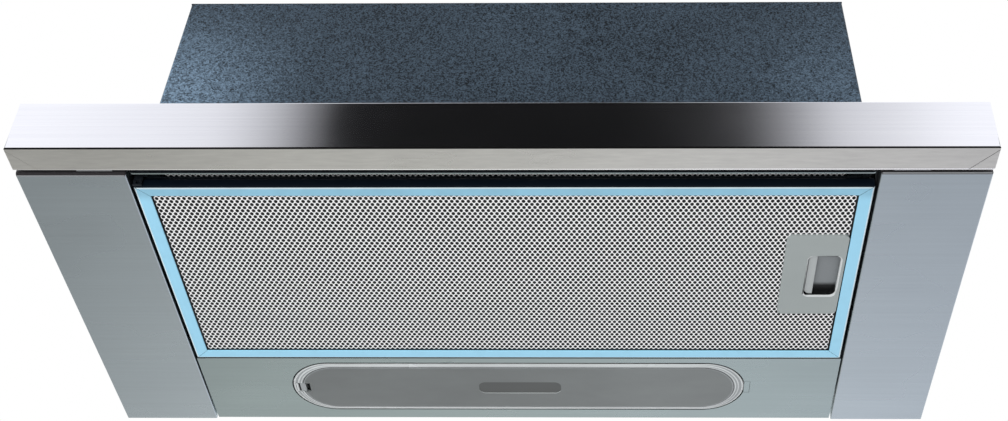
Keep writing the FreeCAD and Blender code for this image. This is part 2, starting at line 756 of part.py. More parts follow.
def lamp_holder(name, side):
    wall = lamp_wall(side)
    tip = wall - s.holder_long
    left, right = ordered(side, tip, wall)
    half = s.holder_half
    case = block(left, right, lens_y - half, lens_y + half, s.lamp_axis - half, s.lamp_axis + half)
    left, right = ordered(side, tip - s.overrun, tip + s.holder_seat)
    half = s.bulb_radius + s.run_gap
    socket = block(left, right, lens_y - half, lens_y + half, s.lamp_axis - half, s.lamp_axis + half)
    return finish(cut(case, socket), "lamp_holder_" + name)


def lamp_bulb(name, side):
    """A tubular lamp whose end sits in its holder."""
    end = lamp_wall(side) - s.holder_long + s.holder_seat
    left, right = ordered(side, end - s.bulb_long, end)
    glass = rod("X", left, lens_y, s.lamp_axis, right - left, s.bulb_radius)
    return finish(glass, "lamp_bulb_" + name)


# Drawer tray and controls

tray_top = s.tray_low + s.tray_tall
lip_back = behind(s.panel_deep) + s.lip_sheet


def drawer_tray():
    body = new_body("drawer_tray")
    back = tray_back
    skin = s.tray_sheet
    outside = oblong(-tray_half, tray_half, lip_back, back)
    pad(body, draw(body, "XY", s.tray_low, outside), s.tray_tall)
    inside = oblong(-tray_half + skin, tray_half - skin, lip_back + skin, back - skin)
    pocket(body, draw(body, "XY", s.tray_low + skin, inside), s.tray_tall)
    edge = skin + s.tray_ledge
    opening = oblong(-tray_half + edge, tray_half - edge, lip_back + edge, back - edge)
    pocket(body, draw(body, "XY", s.tray_low - s.overrun, opening), skin + s.overrun * 2)
    lip = oblong(-lip_half, lip_half, s.lip_low, s.lip_top)
    pad(body, draw(body, "XZ", behind(s.panel_deep), lip), s.lip_sheet)
    return finish(body, "drawer_tray")


def tray_glides():
    glides = []
    for name, side in SIDES:
        outer = tray_half - s.tray_sheet
        left, right = ordered(side, outer - s.glide_wide, outer)
        back = tray_back - s.tray_sheet
        glides.append(block(left, right, back - s.glide_long, back, base_floor + s.run_gap, s.tray_low))
    return finish(group(*glides), "tray_glides")


control_right = tray_half - s.control_in
control_left = control_right - s.control_wide
control_middle = (lip_back + behind(s.control_back)) / 2


def control_box():
    back = behind(s.control_back)
    wall = s.control_wall
    shell = block(control_left, control_right, lip_back, back, tray_top, s.control_top)
    inside = block(control_left + wall, control_right - wall, lip_back + wall, back - wall,
                   tray_top - s.overrun, s.control_top - wall)
    half = s.knob_slot_wide / 2
    over = s.control_top + s.overrun
    slots = [
        block(start - s.run_gap, start + s.knob_stem + travel + s.run_gap, control_middle - half,
              control_middle + half, s.control_top - wall - s.overrun, over)
        for start, travel in (speed_knob_place(), light_knob_place())
    ]
    return finish(cut(shell, inside, *slots), "control_box")


def speed_knob_place():
    """Where the speed knob's stem starts at rest, and how far it slides."""
    return control_left + s.knob_end, s.speed_travel


def light_knob_place():
    """Where the light knob's stem starts at rest, and how far it slides."""
    return control_right - s.knob_end - s.knob_stem - s.light_travel, s.light_travel


def knob(name, start):
    middle = start + s.knob_stem / 2
    half = s.knob_wide / 2
    depth = s.knob_deep / 2
    low = s.control_top + s.run_gap
    foot_top = s.control_top - s.control_wall - s.run_gap
    body = new_body(name)
    cap = oblong(middle - half, middle + half, control_middle - depth, control_middle + depth)
    pad(body, draw(body, "XY", low, cap), s.knob_tall)
    stem_half = s.knob_slot_wide / 2 - s.run_gap
    stem = oblong(start, start + s.knob_stem, control_middle - stem_half, control_middle + stem_half)
    pad(body, draw(body, "XY", foot_top, stem), low - foot_top)
    foot = oblong(start, start + s.knob_stem, control_middle - depth, control_middle + depth)
    pad(body, draw(body, "XY", foot_top - s.knob_foot_tall, foot), s.knob_foot_tall)
    return finish(body, name)


# Grease filters

def filter_frame(name, half, low_y, high_y, level):
    """A rolled channel frame, with its groove open to the middle."""
    body = new_body(name)
    pad(body, draw(body, "XY", level, oblong(-half, half, low_y, high_y)), s.filter_tall)
    rim = s.filter_rim
    opening = oblong(-half + rim, half - rim, low_y + rim, high_y - rim)
    pocket(body, draw(body, "XY", level - s.overrun, opening), s.filter_tall + s.overrun * 2)
    side = rim - s.channel_deep
    groove = oblong(-half + side, half - side, low_y + side, high_y - side)
    skin = s.channel_sheet
    pocket(body, draw(body, "XY", level + skin, groove), s.filter_tall - skin * 2)
    return body


fixed_filter = (filter_half, filter_front, filter_back, as_size(0))
in_tray = s.tray_sheet + s.tray_filter_gap
tray_filter = (tray_half - in_tray, lip_back + in_tray, tray_back - in_tray,
               s.tray_low + s.tray_sheet)


def fixed_filter_frame():
    body = filter_frame("filter_frame", *fixed_filter)
    notch = oblong(keeper_left - s.keeper_gap, keeper_left + s.keeper_sheet + s.keeper_gap,
                   latch_middle - s.bolt_half, latch_middle + s.bolt_half)
    level = s.base_low - s.keeper_drop - s.keeper_gap
    pocket(body, draw(body, "XY", level, notch), s.filter_tall)
    for start in (ear_front, filter_back):
        pin = (pin_x, s.pin_in, s.pin_radius)
        pad(body, draw(body, "XZ", start, pin), s.run_gap + s.ear_sheet)
    return finish(body, "filter_frame")


def tray_filter_frame():
    return finish(filter_frame("drawer_filter_frame", *tray_filter), "drawer_filter_frame")


def wire(points):
    corners = [VEC(x, y, 0) for x, y in points]
    return Part.makePolygon(corners + corners[:1])


def filter_mesh(name, half, low_y, high_y, level, latch):
    """A flat sheet of staggered diamond openings, made as one holed face."""
    edge = (s.filter_rim - s.channel_deep + s.run_gap).value
    rim = s.filter_rim.value
    x0, x1, y0, y1 = -half.value, half.value, low_y.value, high_y.value
    outside = wire([(x0 + edge, y0 + edge), (x1 - edge, y0 + edge), (x1 - edge, y1 - edge),
                    (x0 + edge, y1 - edge)])
    wires = [outside]
    if latch:
        left, right, near, far = (size.value for size in latch)
        wires.append(wire([(left, near), (right, near), (right, far), (left, far)]))
    wide, deep = s.mesh_pitch_x.value / 2, s.mesh_pitch_y.value
    columns = int((x1 - x0 - rim * 2) / wide)
    rows = int((y1 - y0 - rim * 2) / deep)
    for row in range(1, rows):
        y = (y0 + y1) / 2 + (row - rows / 2) * deep
        for column in range(1, columns):
            if (row + column) % 2:
                continue
            x = (column - columns / 2) * wide
            across, along = wide * HOLE_SHARE, deep * HOLE_SHARE
            if latch and left - wide < x < right + wide and near - deep < y < far + deep:
                continue
            wires.append(wire([(x - across, y), (x, y - along), (x + across, y), (x, y + along)]))
    net = doc.addObject("Part::Feature", name)
    face = Part.makeFace(wires, "Part::FaceMakerBullseye")
    net.Shape = face.extrude(VEC(0, 0, s.mesh_sheet.value))
    place(net, 0, 0, level + s.channel_sheet)
    return finish(net, name)


def filter_pad(name, half, low_y, high_y, level, latch):
    """The stack of expanded metal that fills a filter above its mesh."""
    edge = s.filter_rim - s.channel_deep + s.run_gap
    low = level + s.channel_sheet + s.mesh_sheet
    high = level + s.filter_tall - s.channel_sheet
    stack = block(-half + edge, half - edge, low_y + edge, high_y - edge, low, high)
    if latch:
        stack = cut(stack, block(*latch, low - s.overrun, high + s.overrun))
    return finish(stack, name)


# Latch of the fixed filter

latch_right = filter_half - s.filter_rim - s.run_gap
latch_left = latch_right - s.latch_wide
hole_right = latch_right - s.hole_in
hole_left = hole_right - s.hole_wide
latch_back = latch_front + s.latch_long
latch_space = (latch_left - s.run_gap, latch_right + s.run_gap + s.filter_rim,
               latch_front - s.run_gap, latch_back + s.run_gap)
mesh_space = (latch_left - s.run_gap, latch_right + s.run_gap, latch_front - s.run_gap,
              latch_back + s.run_gap)
slider_left = hole_left + s.slider_in
bolt_low = s.hole_deep + s.bolt_shell
bolt_tip = keeper_left - s.run_gap


def latch_plate():
    body = new_body("latch_plate")
    outside = rounded(latch_left, latch_right, latch_front, latch_back, s.latch_round)
    pad(body, draw(body, "XY", 0, outside), s.filter_tall)
    hole = rounded(hole_left, hole_right, hole_front, hole_back, s.hole_round)
    pocket(body, draw(body, "XY", -s.overrun, hole), s.overrun + s.hole_deep)
    left = slider_left - s.latch_travel - s.run_gap
    run = oblong(left, hole_left + s.hole_round, hole_front, hole_back)
    pocket(body, draw(body, "XY", s.latch_skin, run), s.hole_deep - s.latch_skin)
    half = s.bolt_half + s.run_gap
    slot = oblong(left, slider_left + s.slider_wide + s.run_gap, latch_middle - half,
                  latch_middle + half)
    pocket(body, draw(body, "XY", s.hole_deep - s.run_gap, slot), s.bolt_shell + s.run_gap * 2)
    track = oblong(left, latch_right + s.overrun, latch_middle - half, latch_middle + half)
    pocket(body, draw(body, "XY", bolt_low - s.run_gap, track), s.bolt_tall + s.run_gap * 2)
    half = s.spring_half + s.run_gap
    room = oblong(slider_left - s.spring_room, left, latch_middle - half, latch_middle + half)
    pocket(body, draw(body, "XY", s.spring_up - half, room), half * 2)
    return finish(body, "latch_plate")


def latch_slider():
    half = s.bolt_half
    low = s.latch_skin + s.run_gap
    bar = block(slider_left, slider_left + s.slider_wide, hole_front + s.run_gap,
                hole_back - s.run_gap, low, s.hole_deep - s.run_gap)
    neck = block(slider_left, slider_left + s.slider_wide, latch_middle - half, latch_middle + half,
                 low, bolt_low + s.bolt_tall)
    bolt = block(slider_left, bolt_tip, latch_middle - half, latch_middle + half, bolt_low,
                 bolt_low + s.bolt_tall)
    return finish(fuse(bar, neck, bolt), "latch_slider")


def latch_spring():
    """A folded leaf spring that pushes the slider to the right."""
    body = new_body("latch_spring")
    start = slider_left - s.spring_room + s.spring_sheet
    fold = (s.spring_room - s.spring_sheet * 2) / SPRING_FOLDS
    skin = s.spring_sheet
    far = s.spring_half - skin / 2
    there = [(start + fold * n, latch_middle + far * (1 if n % 2 else -1) - skin / 2)
             for n in range(SPRING_FOLDS + 1)]
    back = [straight(x, y + skin) for x, y in reversed(there)]
    outline = [straight(x, y) for x, y in there] + back
    low = s.spring_up - s.spring_half
    pad(body, draw(body, "XY", low, outline), s.spring_half * 2)
    return finish(body, "latch_spring")


# Blower: scroll housing, impeller and motor

def scroll_outline(inset, top):
    """The widening spiral of the scroll, open at the top, drawn a wall's inset inside."""
    step = s.scroll_second - s.scroll_first
    rise = s.scroll_third - s.scroll_second
    first = s.scroll_first - inset
    second = s.scroll_second - inset
    right = fan_y + step + s.scroll_third - inset
    tongue = fan_y + s.tongue_out + inset
    z = fan_z
    return [
        straight(tongue, top), straight(tongue, z + first), bend(fan_y, z + first, fan_y, z),
        bend(fan_y - first, z, fan_y + step, z),
        bend(fan_y + step, z - second, fan_y + step, z + rise),
        straight(right, z + rise), straight(right, top),
    ]


def scroll_left():
    body = new_body("scroll_left")
    half = s.scroll_half
    pad(body, draw(body, "YZ", -half, scroll_outline(as_size(0), lid_low)), half)
    inside = scroll_outline(s.scroll_wall, lid_low + s.overrun)
    pocket(body, draw(body, "YZ", -half + s.scroll_wall, inside), half)
    hole = (fan_y, fan_z, s.motor_hole)
    pocket(body, draw(body, "YZ", -half - s.overrun, hole), s.scroll_wall + s.overrun * 2)
    return finish(body, "scroll_left")


def scroll_right():
    body = new_body("scroll_right")
    half = s.scroll_half
    pad(body, draw(body, "YZ", 0, scroll_outline(as_size(0), lid_low)), half)
    inside = scroll_outline(s.scroll_wall, lid_low + s.overrun)
    pocket(body, draw(body, "YZ", -s.overrun, inside), half - s.scroll_wall + s.overrun)
    inlet = draw(body, "YZ", half - s.scroll_wall - s.overrun, (fan_y, fan_z, s.inlet_radius))
    pocket(body, inlet, s.scroll_wall + s.overrun * 2)
    return finish(body, "scroll_right")


def impeller():
    """A drum wheel whose blades stand between a back plate and a front ring."""
    body = new_body("impeller")
    half = s.fan_half
    tip = s.fan_root + s.blade_run
    edge = tip + s.fan_rim
    pad(body, draw(body, "YZ", -half, (0, 0, edge)), s.fan_plate)
    pad(body, draw(body, "YZ", -half, (0, 0, s.hub_radius)), s.hub_long)
    root, curve, skin = s.fan_root, s.blade_bend, s.blade_sheet
    knee = s.fan_root + s.blade_knee
    there = [(root, as_size(0)), (knee, s.blade_rise), (tip, curve)]
    blade = [straight(x, y) for x, y in there] + [straight(x, y - skin) for x, y in reversed(there)]
    start = -half + s.fan_plate / 2
    blade_pad = pad(body, draw(body, "YZ", start, blade), half - s.fan_ring / 2 - start)
    wheel = body.newObject("PartDesign::PolarPattern", "impeller_blades")
    wheel.Originals = [blade_pad]
    wheel.Axis = (origin_axis(body, "X_Axis"), [""])
    wheel.Angle = 360
    wheel.Occurrences = BLADE_COUNT
    body.Tip = wheel
    rim = draw(body, "YZ", half - s.fan_ring, (0, 0, edge), (0, 0, root - s.fan_rim))
    pad(body, rim, s.fan_ring)
    bore = (0, 0, s.shaft_radius + s.fit_gap)
    pocket(body, draw(body, "YZ", -half - s.overrun, bore), s.hub_long + s.overrun * 2)
    place(body, 0, fan_y, fan_z)
    return finish(body, "impeller")


motor_face = -s.scroll_half
bore_end = motor_face - s.shaft_seat


def motor_case():
    """The closed motor on the scroll's side, with the bore that its shaft runs in."""
    body = new_body("motor_case")
    left = motor_face - s.motor_long
    bore = s.shaft_radius + s.fit_gap
    profile = [
        straight(left, 0), straight(bore_end, 0), straight(bore_end, bore), straight(motor_face, bore),
        straight(motor_face, s.motor_radius), straight(left, s.motor_radius),
    ]
    turned(body, draw(body, "XY", 0, profile))
    place(body, 0, fan_y, fan_z)
    return finish(body, "motor_case")


def motor_shaft():
    left = bore_end + s.run_gap
    length = -s.fan_half + s.hub_long - left
    return finish(rod("X", left, fan_y, fan_z, length, s.shaft_radius), "motor_shaft")


# Electrical pieces under the lid

def capacitor():
    right = box_half - s.capacitor_in
    back = box_front + s.capacitor_front_in
    case = block(right - s.capacitor_wide, right, back - s.capacitor_deep, back,
                 lid_low - s.capacitor_tall, lid_low)
    return finish(case, "capacitor")


def terminal_box():
    left = terminal_x - s.terminal_wide / 2
    right = left + s.terminal_wide
    near = terminal_y - s.terminal_deep / 2
    far = near + s.terminal_deep
    low = lid_low - s.terminal_tall
    wall = s.terminal_wall
    inside = block(left + wall, right - wall, near + wall, far - wall, low + wall, lid_low + wall)
    return finish(cut(block(left, right, near, far, low, lid_low), inside), "terminal_box")


def cable_gland():
    x, y = terminal_x, terminal_y
    body = new_body("cable_gland")
    low = s.box_top - s.gland_down
    pad(body, draw(body, "XY", low, (x, y, s.gland_neck)), s.gland_down)
    nut = many_sided(x, y, s.gland_radius, HEAD_SIDES)
    pad(body, draw(body, "XY", s.box_top, nut), s.gland_tall)
    bore = draw(body, "XY", low - s.overrun, (x, y, s.gland_bore))
    pocket(body, bore, s.gland_down + s.gland_tall + s.overrun * 2)
    return finish(body, "cable_gland")


# Outlet collar with its two flaps

flap_axis = s.box_top + s.flap_axis_up
collar_bore = s.collar_radius - s.collar_wall


def outlet_collar():
    y = outlet_middle
    edge = s.collar_flange
    flange = block(-edge, edge, y - edge, y + edge, s.box_top, s.box_top + s.collar_flange_sheet)
    tube = rod("Z", 0, y, s.box_top, s.collar_tall, s.collar_radius)
    bore = rod("Z", 0, y, s.box_top - s.overrun, s.collar_tall + s.overrun * 2, collar_bore)
    stop_top = flap_axis - s.flap_sheet / 2 - s.run_gap
    half = s.stop_half
    wall = collar_bore + s.collar_wall / 2
    stops = block(-half, half, y - wall, y + wall, stop_top - s.stop_sheet, stop_top)
    middle = collar_bore - s.stop_in
    stops = cut(stops, block(-half - s.overrun, half + s.overrun, y - middle, y + middle,
                             stop_top - s.stop_sheet - s.overrun, stop_top + s.overrun))
    reach = collar_bore + s.pin_seat
    pin_hole = rod("X", -reach, y, flap_axis, reach * 2, s.flap_pin_radius + s.fit_gap)
    return finish(cut(fuse(cut(fuse(flange, tube), bore), stops), pin_hole), "outlet_collar")


def flap_pin():
    reach = collar_bore + s.pin_seat
    pin = rod("X", -reach, outlet_middle, flap_axis, reach * 2, s.flap_pin_radius)
    return finish(pin, "flap_pin")


def flap(name, turn):
    """A half disc with one long knuckle, the same piece for both sides of the pin."""
    radius = collar_bore - s.flap_gap
    half = s.flap_sheet / 2
    disc = rod("Z", 0, 0, -half, s.flap_sheet, radius)
    disc.Angle = 180
    edge = s.knuckle_radius + s.knuckle_gap
    blade = cut(disc, block(-radius, radius, -s.overrun, edge, -half - s.overrun, half + s.overrun))
    start = s.knuckle_in - radius
    web = block(start, -s.knuckle_near, 0, edge + half, -half, half)
    knuckle = rod("X", start, 0, 0, -s.knuckle_near - start, s.knuckle_radius)
    bore = rod("X", -radius, 0, 0, radius * 2, s.flap_pin_radius + s.fit_gap * 2)
    leaf = cut(fuse(blade, web, knuckle), bore)
    leaf.Placement = FreeCAD.Placement(VEC(), FreeCAD.Rotation(VEC(0, 0, 1), turn))
    place(leaf, 0, outlet_middle, flap_axis)
    return finish(leaf, name)


# Stops and switch behind the drawer

def drawer_stops():
    start = tray_back + s.run_gap
    radius = s.stop_radius
    stops = []
    for name, side in SIDES:
        x = (tray_half - s.stop_side_in) * side
        nose = block(x - radius, x + radius, start, start + s.stop_long, base_floor + s.stop_up - radius,
                     base_floor + s.stop_up + radius)
        foot = block(x - radius, x + radius, start + s.stop_long / 2, start + s.stop_long, base_floor,
                     base_floor + s.stop_up)
        stops.append(fuse(nose, foot))
    return finish(group(*stops), "drawer_stops")


def drawer_switch():
    start = tray_back + s.run_gap
    left = tray_half - s.switch_in
    case = block(left, left + s.switch_wide, start, start + s.switch_deep, base_floor,
                 base_floor + s.switch_tall)
    return finish(case, "drawer_switch")


# Every piece of the hood, from the outside in

front_panel()
panel_backing()
for name, side in SIDES:
    wing(name, side)
    side_arm(name, side)
    outer_rail(name, side)
    inner_rail(name, side)
roller_cages()
slide_rollers()
housing_shell()
housing_top()
base_frame()
bolt_keeper()
lamp_panel()
lamp_lens()
lens_catch()
lamp_box()
for name, side in SIDES:
    lamp_holder(name, side)
    lamp_bulb(name, side)
drawer_tray()
tray_glides()
control_box()
knob("speed_knob", speed_knob_place()[0])
knob("light_knob", light_knob_place()[0])
fixed_filter_frame()
filter_mesh("filter_mesh", *fixed_filter, mesh_space)
filter_pad("filter_pad", *fixed_filter, latch_space)
tray_filter_frame()
filter_mesh("drawer_filter_mesh", *tray_filter, None)
filter_pad("drawer_filter_pad", *tray_filter, None)
latch_plate()
latch_slider()
latch_spring()
scroll_left()
scroll_right()
impeller()
motor_case()
motor_shaft()
capacitor()
terminal_box()
cable_gland()
outlet_collar()
flap_pin()
flap("flap_rear", 0)
flap("flap_front", 180)
drawer_stops()
drawer_switch()
doc.recompute()

for thing in doc.Objects:
    if "Invalid" in thing.State or "Error" in thing.State:
        raise RuntimeError("%s did not build: %s" % (thing.Label, thing.State))
    if thing.TypeId == "PartDesign::Pocket" and thing.BaseFeature:
        if thing.Shape.Volume > thing.BaseFeature.Shape.Volume - TINY:
            raise RuntimeError("%s cuts nothing away" % thing.Label)
os.makedirs("parts", exist_ok=True)
for piece in pieces:
    if piece.Shape.isNull() or not piece.Shape.isValid():
        raise RuntimeError("%s has no sound shape" % piece.Label)
for piece in pieces:
    piece.Shape.exportStep("parts/%s.step" % piece.Label)
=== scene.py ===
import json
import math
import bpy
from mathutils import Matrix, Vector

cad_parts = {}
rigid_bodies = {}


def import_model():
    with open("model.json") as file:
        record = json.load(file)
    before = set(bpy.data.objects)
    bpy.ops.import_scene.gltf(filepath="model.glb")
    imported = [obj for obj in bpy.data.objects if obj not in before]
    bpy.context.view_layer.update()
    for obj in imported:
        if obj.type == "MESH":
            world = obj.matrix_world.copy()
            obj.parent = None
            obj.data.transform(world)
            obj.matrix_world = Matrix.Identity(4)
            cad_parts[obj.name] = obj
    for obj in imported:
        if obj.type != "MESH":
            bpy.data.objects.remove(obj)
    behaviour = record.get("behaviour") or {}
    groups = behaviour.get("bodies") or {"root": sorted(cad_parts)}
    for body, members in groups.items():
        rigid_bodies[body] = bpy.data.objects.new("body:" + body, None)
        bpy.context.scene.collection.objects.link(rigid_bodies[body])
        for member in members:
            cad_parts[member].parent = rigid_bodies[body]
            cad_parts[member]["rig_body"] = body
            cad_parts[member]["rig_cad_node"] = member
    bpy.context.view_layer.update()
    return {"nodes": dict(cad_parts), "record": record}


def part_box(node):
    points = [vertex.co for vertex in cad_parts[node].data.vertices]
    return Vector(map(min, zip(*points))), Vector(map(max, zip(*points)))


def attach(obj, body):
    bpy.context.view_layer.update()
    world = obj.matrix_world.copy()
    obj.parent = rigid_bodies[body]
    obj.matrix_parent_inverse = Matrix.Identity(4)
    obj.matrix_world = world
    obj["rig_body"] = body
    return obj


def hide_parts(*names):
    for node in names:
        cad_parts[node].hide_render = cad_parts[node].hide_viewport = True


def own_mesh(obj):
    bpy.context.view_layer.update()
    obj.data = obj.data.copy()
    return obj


bl_info = {
    "name": "Built-in cooker hood",
    "version": (1, 0, 0),
    "blender": (4, 5, 0),
    "location": "View3D > Sidebar > Hood",
    "description": "Dresses the packed frame of a slide-out cooker hood and lights it",
    "category": "Object",
}

import bmesh
import bpy
from bpy.props import FloatProperty, FloatVectorProperty, PointerProperty
from mathutils import Matrix, Vector

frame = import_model()
MM = 0.001
NEAR, CLOSE = 0.01 * MM, 0.1 * MM


def mm(*numbers):
    return [number * MM for number in numbers]


# Lengths beside those that can be set in the panel: front panel, drawer's lip and tray
SEAM_IN, SEAM_DEEP = mm(2, 0.15)
LIP_SHEET, LIP_FOOT, LIP_SLOPE, LIP_CORNER, TRAY_FLOOR = mm(1.2, 6, 2.5, 2.5, 10)
# Box and base frame
FLARE_FOOT, FLARE_RUN = mm(35, 4)
FLANGE_HALF, FLANGE_DEEP, FLANGE_LOW, FLANGE_HIGH = mm(222, 2.9, 8.6, 10.5)
# Filters
PIN_REACH, PIN_IN, PIN_RADIUS, PIN_ROOT = mm(1.7, 2.5, 1.2, 0.5)
STRIP_OUTER, STRIP_FRONT, STRIP_INNER = mm(1.2, 2, 0.6)
# Latch
RECESS_LEFT, RECESS_RIGHT, RECESS_FRONT, RECESS_BACK, RECESS_DEEP = mm(24, 3, 21.5, 63.5, 4.7)
CORNER_REACH, CORNER_HIGH = mm(2.1, 4.5)
# Lamp cover
COVER_TONGUE, COVER_TOP, COVER_DROP, COVER_WALL, COVER_HOLLOW = mm(3.7, 3, 0.95, 5, 1.5)
BEAD_RADIUS, BEAD_OUT, BEAD_HALF, BEAD_UP = mm(1.2, 2.5, 10, 3.5)
SLOT_LEFT, SLOT_RIGHT, SLOT_HALF, SLOT_HIGH = mm(2.4, 3.3, 5.3, 4)
PAD_LONG, PAD_HALF, PAD_DEEP, PAD_ROUND = mm(30, 7.15, 0.5, 5)
PAD_REACH_X, PAD_REACH_Y = mm(31, 7.3)
TONGUE_IN, TONGUE_HALF, TONGUE_LOW = mm(5, 6, 2.3)
NOTCH_NEAR, NOTCH_FAR, NOTCH_HALF, NOTCH_LOW, NOTCH_HIGH = mm(0.5, 4.5, 6.8, 1.02, 1.8)
# The cover's catch
CATCH_LEFT, CATCH_FACE, LINE_AT, LINE_WIDE = mm(2.5, 0.5, 0.8, 1.4)
GAP_FROM, GAP_AT, GAP_WIDE, GAP_DEEP = mm(1.6, 2.6, 1.2, 0.6)

# The photograph's camera: place in metres, pitch, yaw and roll in degrees, lens in millimetres
CAMERA_PLACE = (0.0671, -0.7868, -0.5951)
CAMERA_TURN = (40.57, -1.243, 0.766)
CAMERA_LENS, CAMERA_SHIFT = 52.086, -0.083
FLOOR_WIDE = 24


def length(name, millimetres, words):
    return FloatProperty(name=name, description=words, default=millimetres * MM,
                         unit="LENGTH", subtype="DISTANCE", precision=5)


def colour(name, value, words):
    return FloatVectorProperty(name=name, description=words, default=value, size=3,
                               min=0, max=1, subtype="COLOR")


class HoodSizes(bpy.types.PropertyGroup):
    """Sizes of what the scene adds to the frame."""

    wing_edge: length("Wing edge", 0.8, "Rounding along the edges of the wings")
    wing_left: length("Left wing rounding", 2.4, "Rounding along the left wing's front edge")
    wing_right: length("Right wing rounding", 1.2, "Rounding along the right wing's front edge")
    lip_step: length("Lip step", 2.7, "How far the foot of the drawer's lip steps back")
    hem: length("Hem", 1.3, "Bright hem along the back of the front panel's underside")
    # Painted shade: the rounding of this fold is painted near black.
    fold: length("Fold", 0.9, "Dark fold along the front panel's lower edge")
    seam: length("Seam", 0.35, "Groove where the ends of the front panel are mitred")
    flare: length("Flare", 3.8, "How far the box stands out above its slides")
    hole_pitch: length("Hole pitch", 3.45, "From hole to hole along a row of the mesh")
    row_pitch: length("Row pitch", 2.95, "From row to row of the mesh, staggered")
    hole_wide: length("Hole width", 2.25, "Width of a hole in the mesh")
    hole_long: length("Hole length", 3.45, "Length of a hole in the mesh")
    mesh_gap: length("Mesh gap", 1.3, "Shaded gap between a filter's strips and its mesh")
    strip: length("Frame strip", 8.8, "Width of a filter frame's visible strip")
    mitre: length("Mitre", 0.15, "Gap between two strips of a filter frame at its corner")
    bead: length("Bead", 1.1, "Bead round the latch's recess")
    recess_round: length("Recess rounding", 4.2, "Rounding of the corners of the latch's recess")
    bolt_travel: length("Bolt travel", 5.2, "How far the bolt presses its spring together")
    floor_down: length("Floor", 2400, "How far the floor lies below the hood")


class HoodColours(bpy.types.PropertyGroup):
    """Base colours of the hood's finishes."""

    steel: colour("Front steel", (0.95, 0.96, 0.99), "Polished brushed steel of the front")
    under_steel: colour("Underside steel", (0.83, 0.825, 0.77), "The front panel's underside")
    # Painted highlight: the rounding along the back of the front panel's underside is painted near
    # white.
    hem: colour("Hem", (0.98, 0.98, 0.96), "Bright hem of the underside")
    wing: colour("Wings", (0.56, 0.635, 0.665), "Satin steel of the wings")
    # Painted shade: the wings' front wall and rounded fold are painted near black.
    wing_fold: colour("Wing's fold", (0.07, 0.065, 0.07), "Shaded fold along the wings' front")
    # Painted highlight: a lighter line along the wings' fold.
    wing_line: colour("Wing's line", (0.27, 0.28, 0.29), "Lit line along the wings' fold")
    lamp_sheet: colour("Lamp panel", (0.44, 0.525, 0.52), "Satin steel round the lamp cover")
    zinc: colour("Galvanised", (0.0285, 0.042, 0.057), "Spangled zinc of the box")
    # Painted shade: near black for the inside of the box, the base frame's flanges, the bolt keeper
    # and the drawer's tray.
    inner_zinc: colour("Inner zinc", (0.012, 0.015, 0.019), "Zinc inside the box, in painted shade")
    rail: colour("Rails", (0.5, 0.52, 0.54), "Bright zinc of rails and arms")
    film: colour("Film", (0.345, 0.7, 0.91), "Blue film on the filter's frame")
    # Painted highlight along the outer edges of the filter frame's strips.
    film_edge: colour("Film edge", (0.74, 0.9, 0.96), "Painted highlight along the film's edges")
    # Painted shade: near black for the sides of the strips and the walls of the mesh's holes.
    strip_side: colour("Strip side", (0.005, 0.01, 0.018), "Sides of the filter's strips, in painted shade")
    aluminium: colour("Aluminium", (0.8, 0.8, 0.8), "Rolled aluminium")
    mesh: colour("Mesh", (1.0, 1.0, 1.0), "Expanded mesh")
    stack: colour("Mesh stack", (0.002, 0.002, 0.002), "Layers behind the mesh, in their own shade")
    latch: colour("Latch", (0.36, 0.4, 0.395), "Moulded grey of the latch")
    slider: colour("Slider", (0.45, 0.48, 0.48), "Moulded grey of the latch's slider")
    # Painted highlight: the bead round the latch's recess is painted pale.
    bead: colour("Bead", (0.66, 0.69, 0.69), "Bead round the latch's recess")
    # The recess is darker than the latch, and its back end is darkened further as painted shade.
    recess: colour("Recess", (0.24, 0.26, 0.27), "Inside of the latch's recess")
    lens: colour("Lamp cover", (0.188, 0.205, 0.205), "Frosted pane of the lamp cover")
    # Painted highlight: the pale rings stand for light on the ridges round the pane.
    lens_pale: colour("Cover's pale ring", (0.74, 0.78, 0.78), "Ridge round the pane, with a painted highlight")
    lens_grey: colour("Cover's grey ring", (0.4, 0.43, 0.44), "Clear plastic between the ridges")
    lens_pad: colour("Cover's pad", (0.1, 0.108, 0.106), "Plain sunk pad in the cover's middle")
    lens_line: colour("Cover line", (0.05, 0.055, 0.055), "Line between border and pane")
    lamp: colour("Lamp", (0.8, 0.8, 0.78), "Opal lamp")
    holder: colour("Holder", (0.6, 0.6, 0.58), "Lamp holder")
    black: colour("Black moulding", (0.02, 0.02, 0.022), "Black plastic")
    knob: colour("Knobs", (0.12, 0.12, 0.13), "Grey plastic of the knobs")
    rubber: colour("Rubber", (0.015, 0.015, 0.015), "Drawer stops")
    fan: colour("Fan", (0.06, 0.065, 0.07), "Fan wheel")
    motor: colour("Motor", (0.03, 0.03, 0.033), "Motor paint")
    floor: colour("Floor", (0.93, 0.93, 0.93), "Floor of the studio")


def sizes():
    return bpy.context.scene.hood_sizes


def colours():
    return bpy.context.scene.hood_colours


# Materials

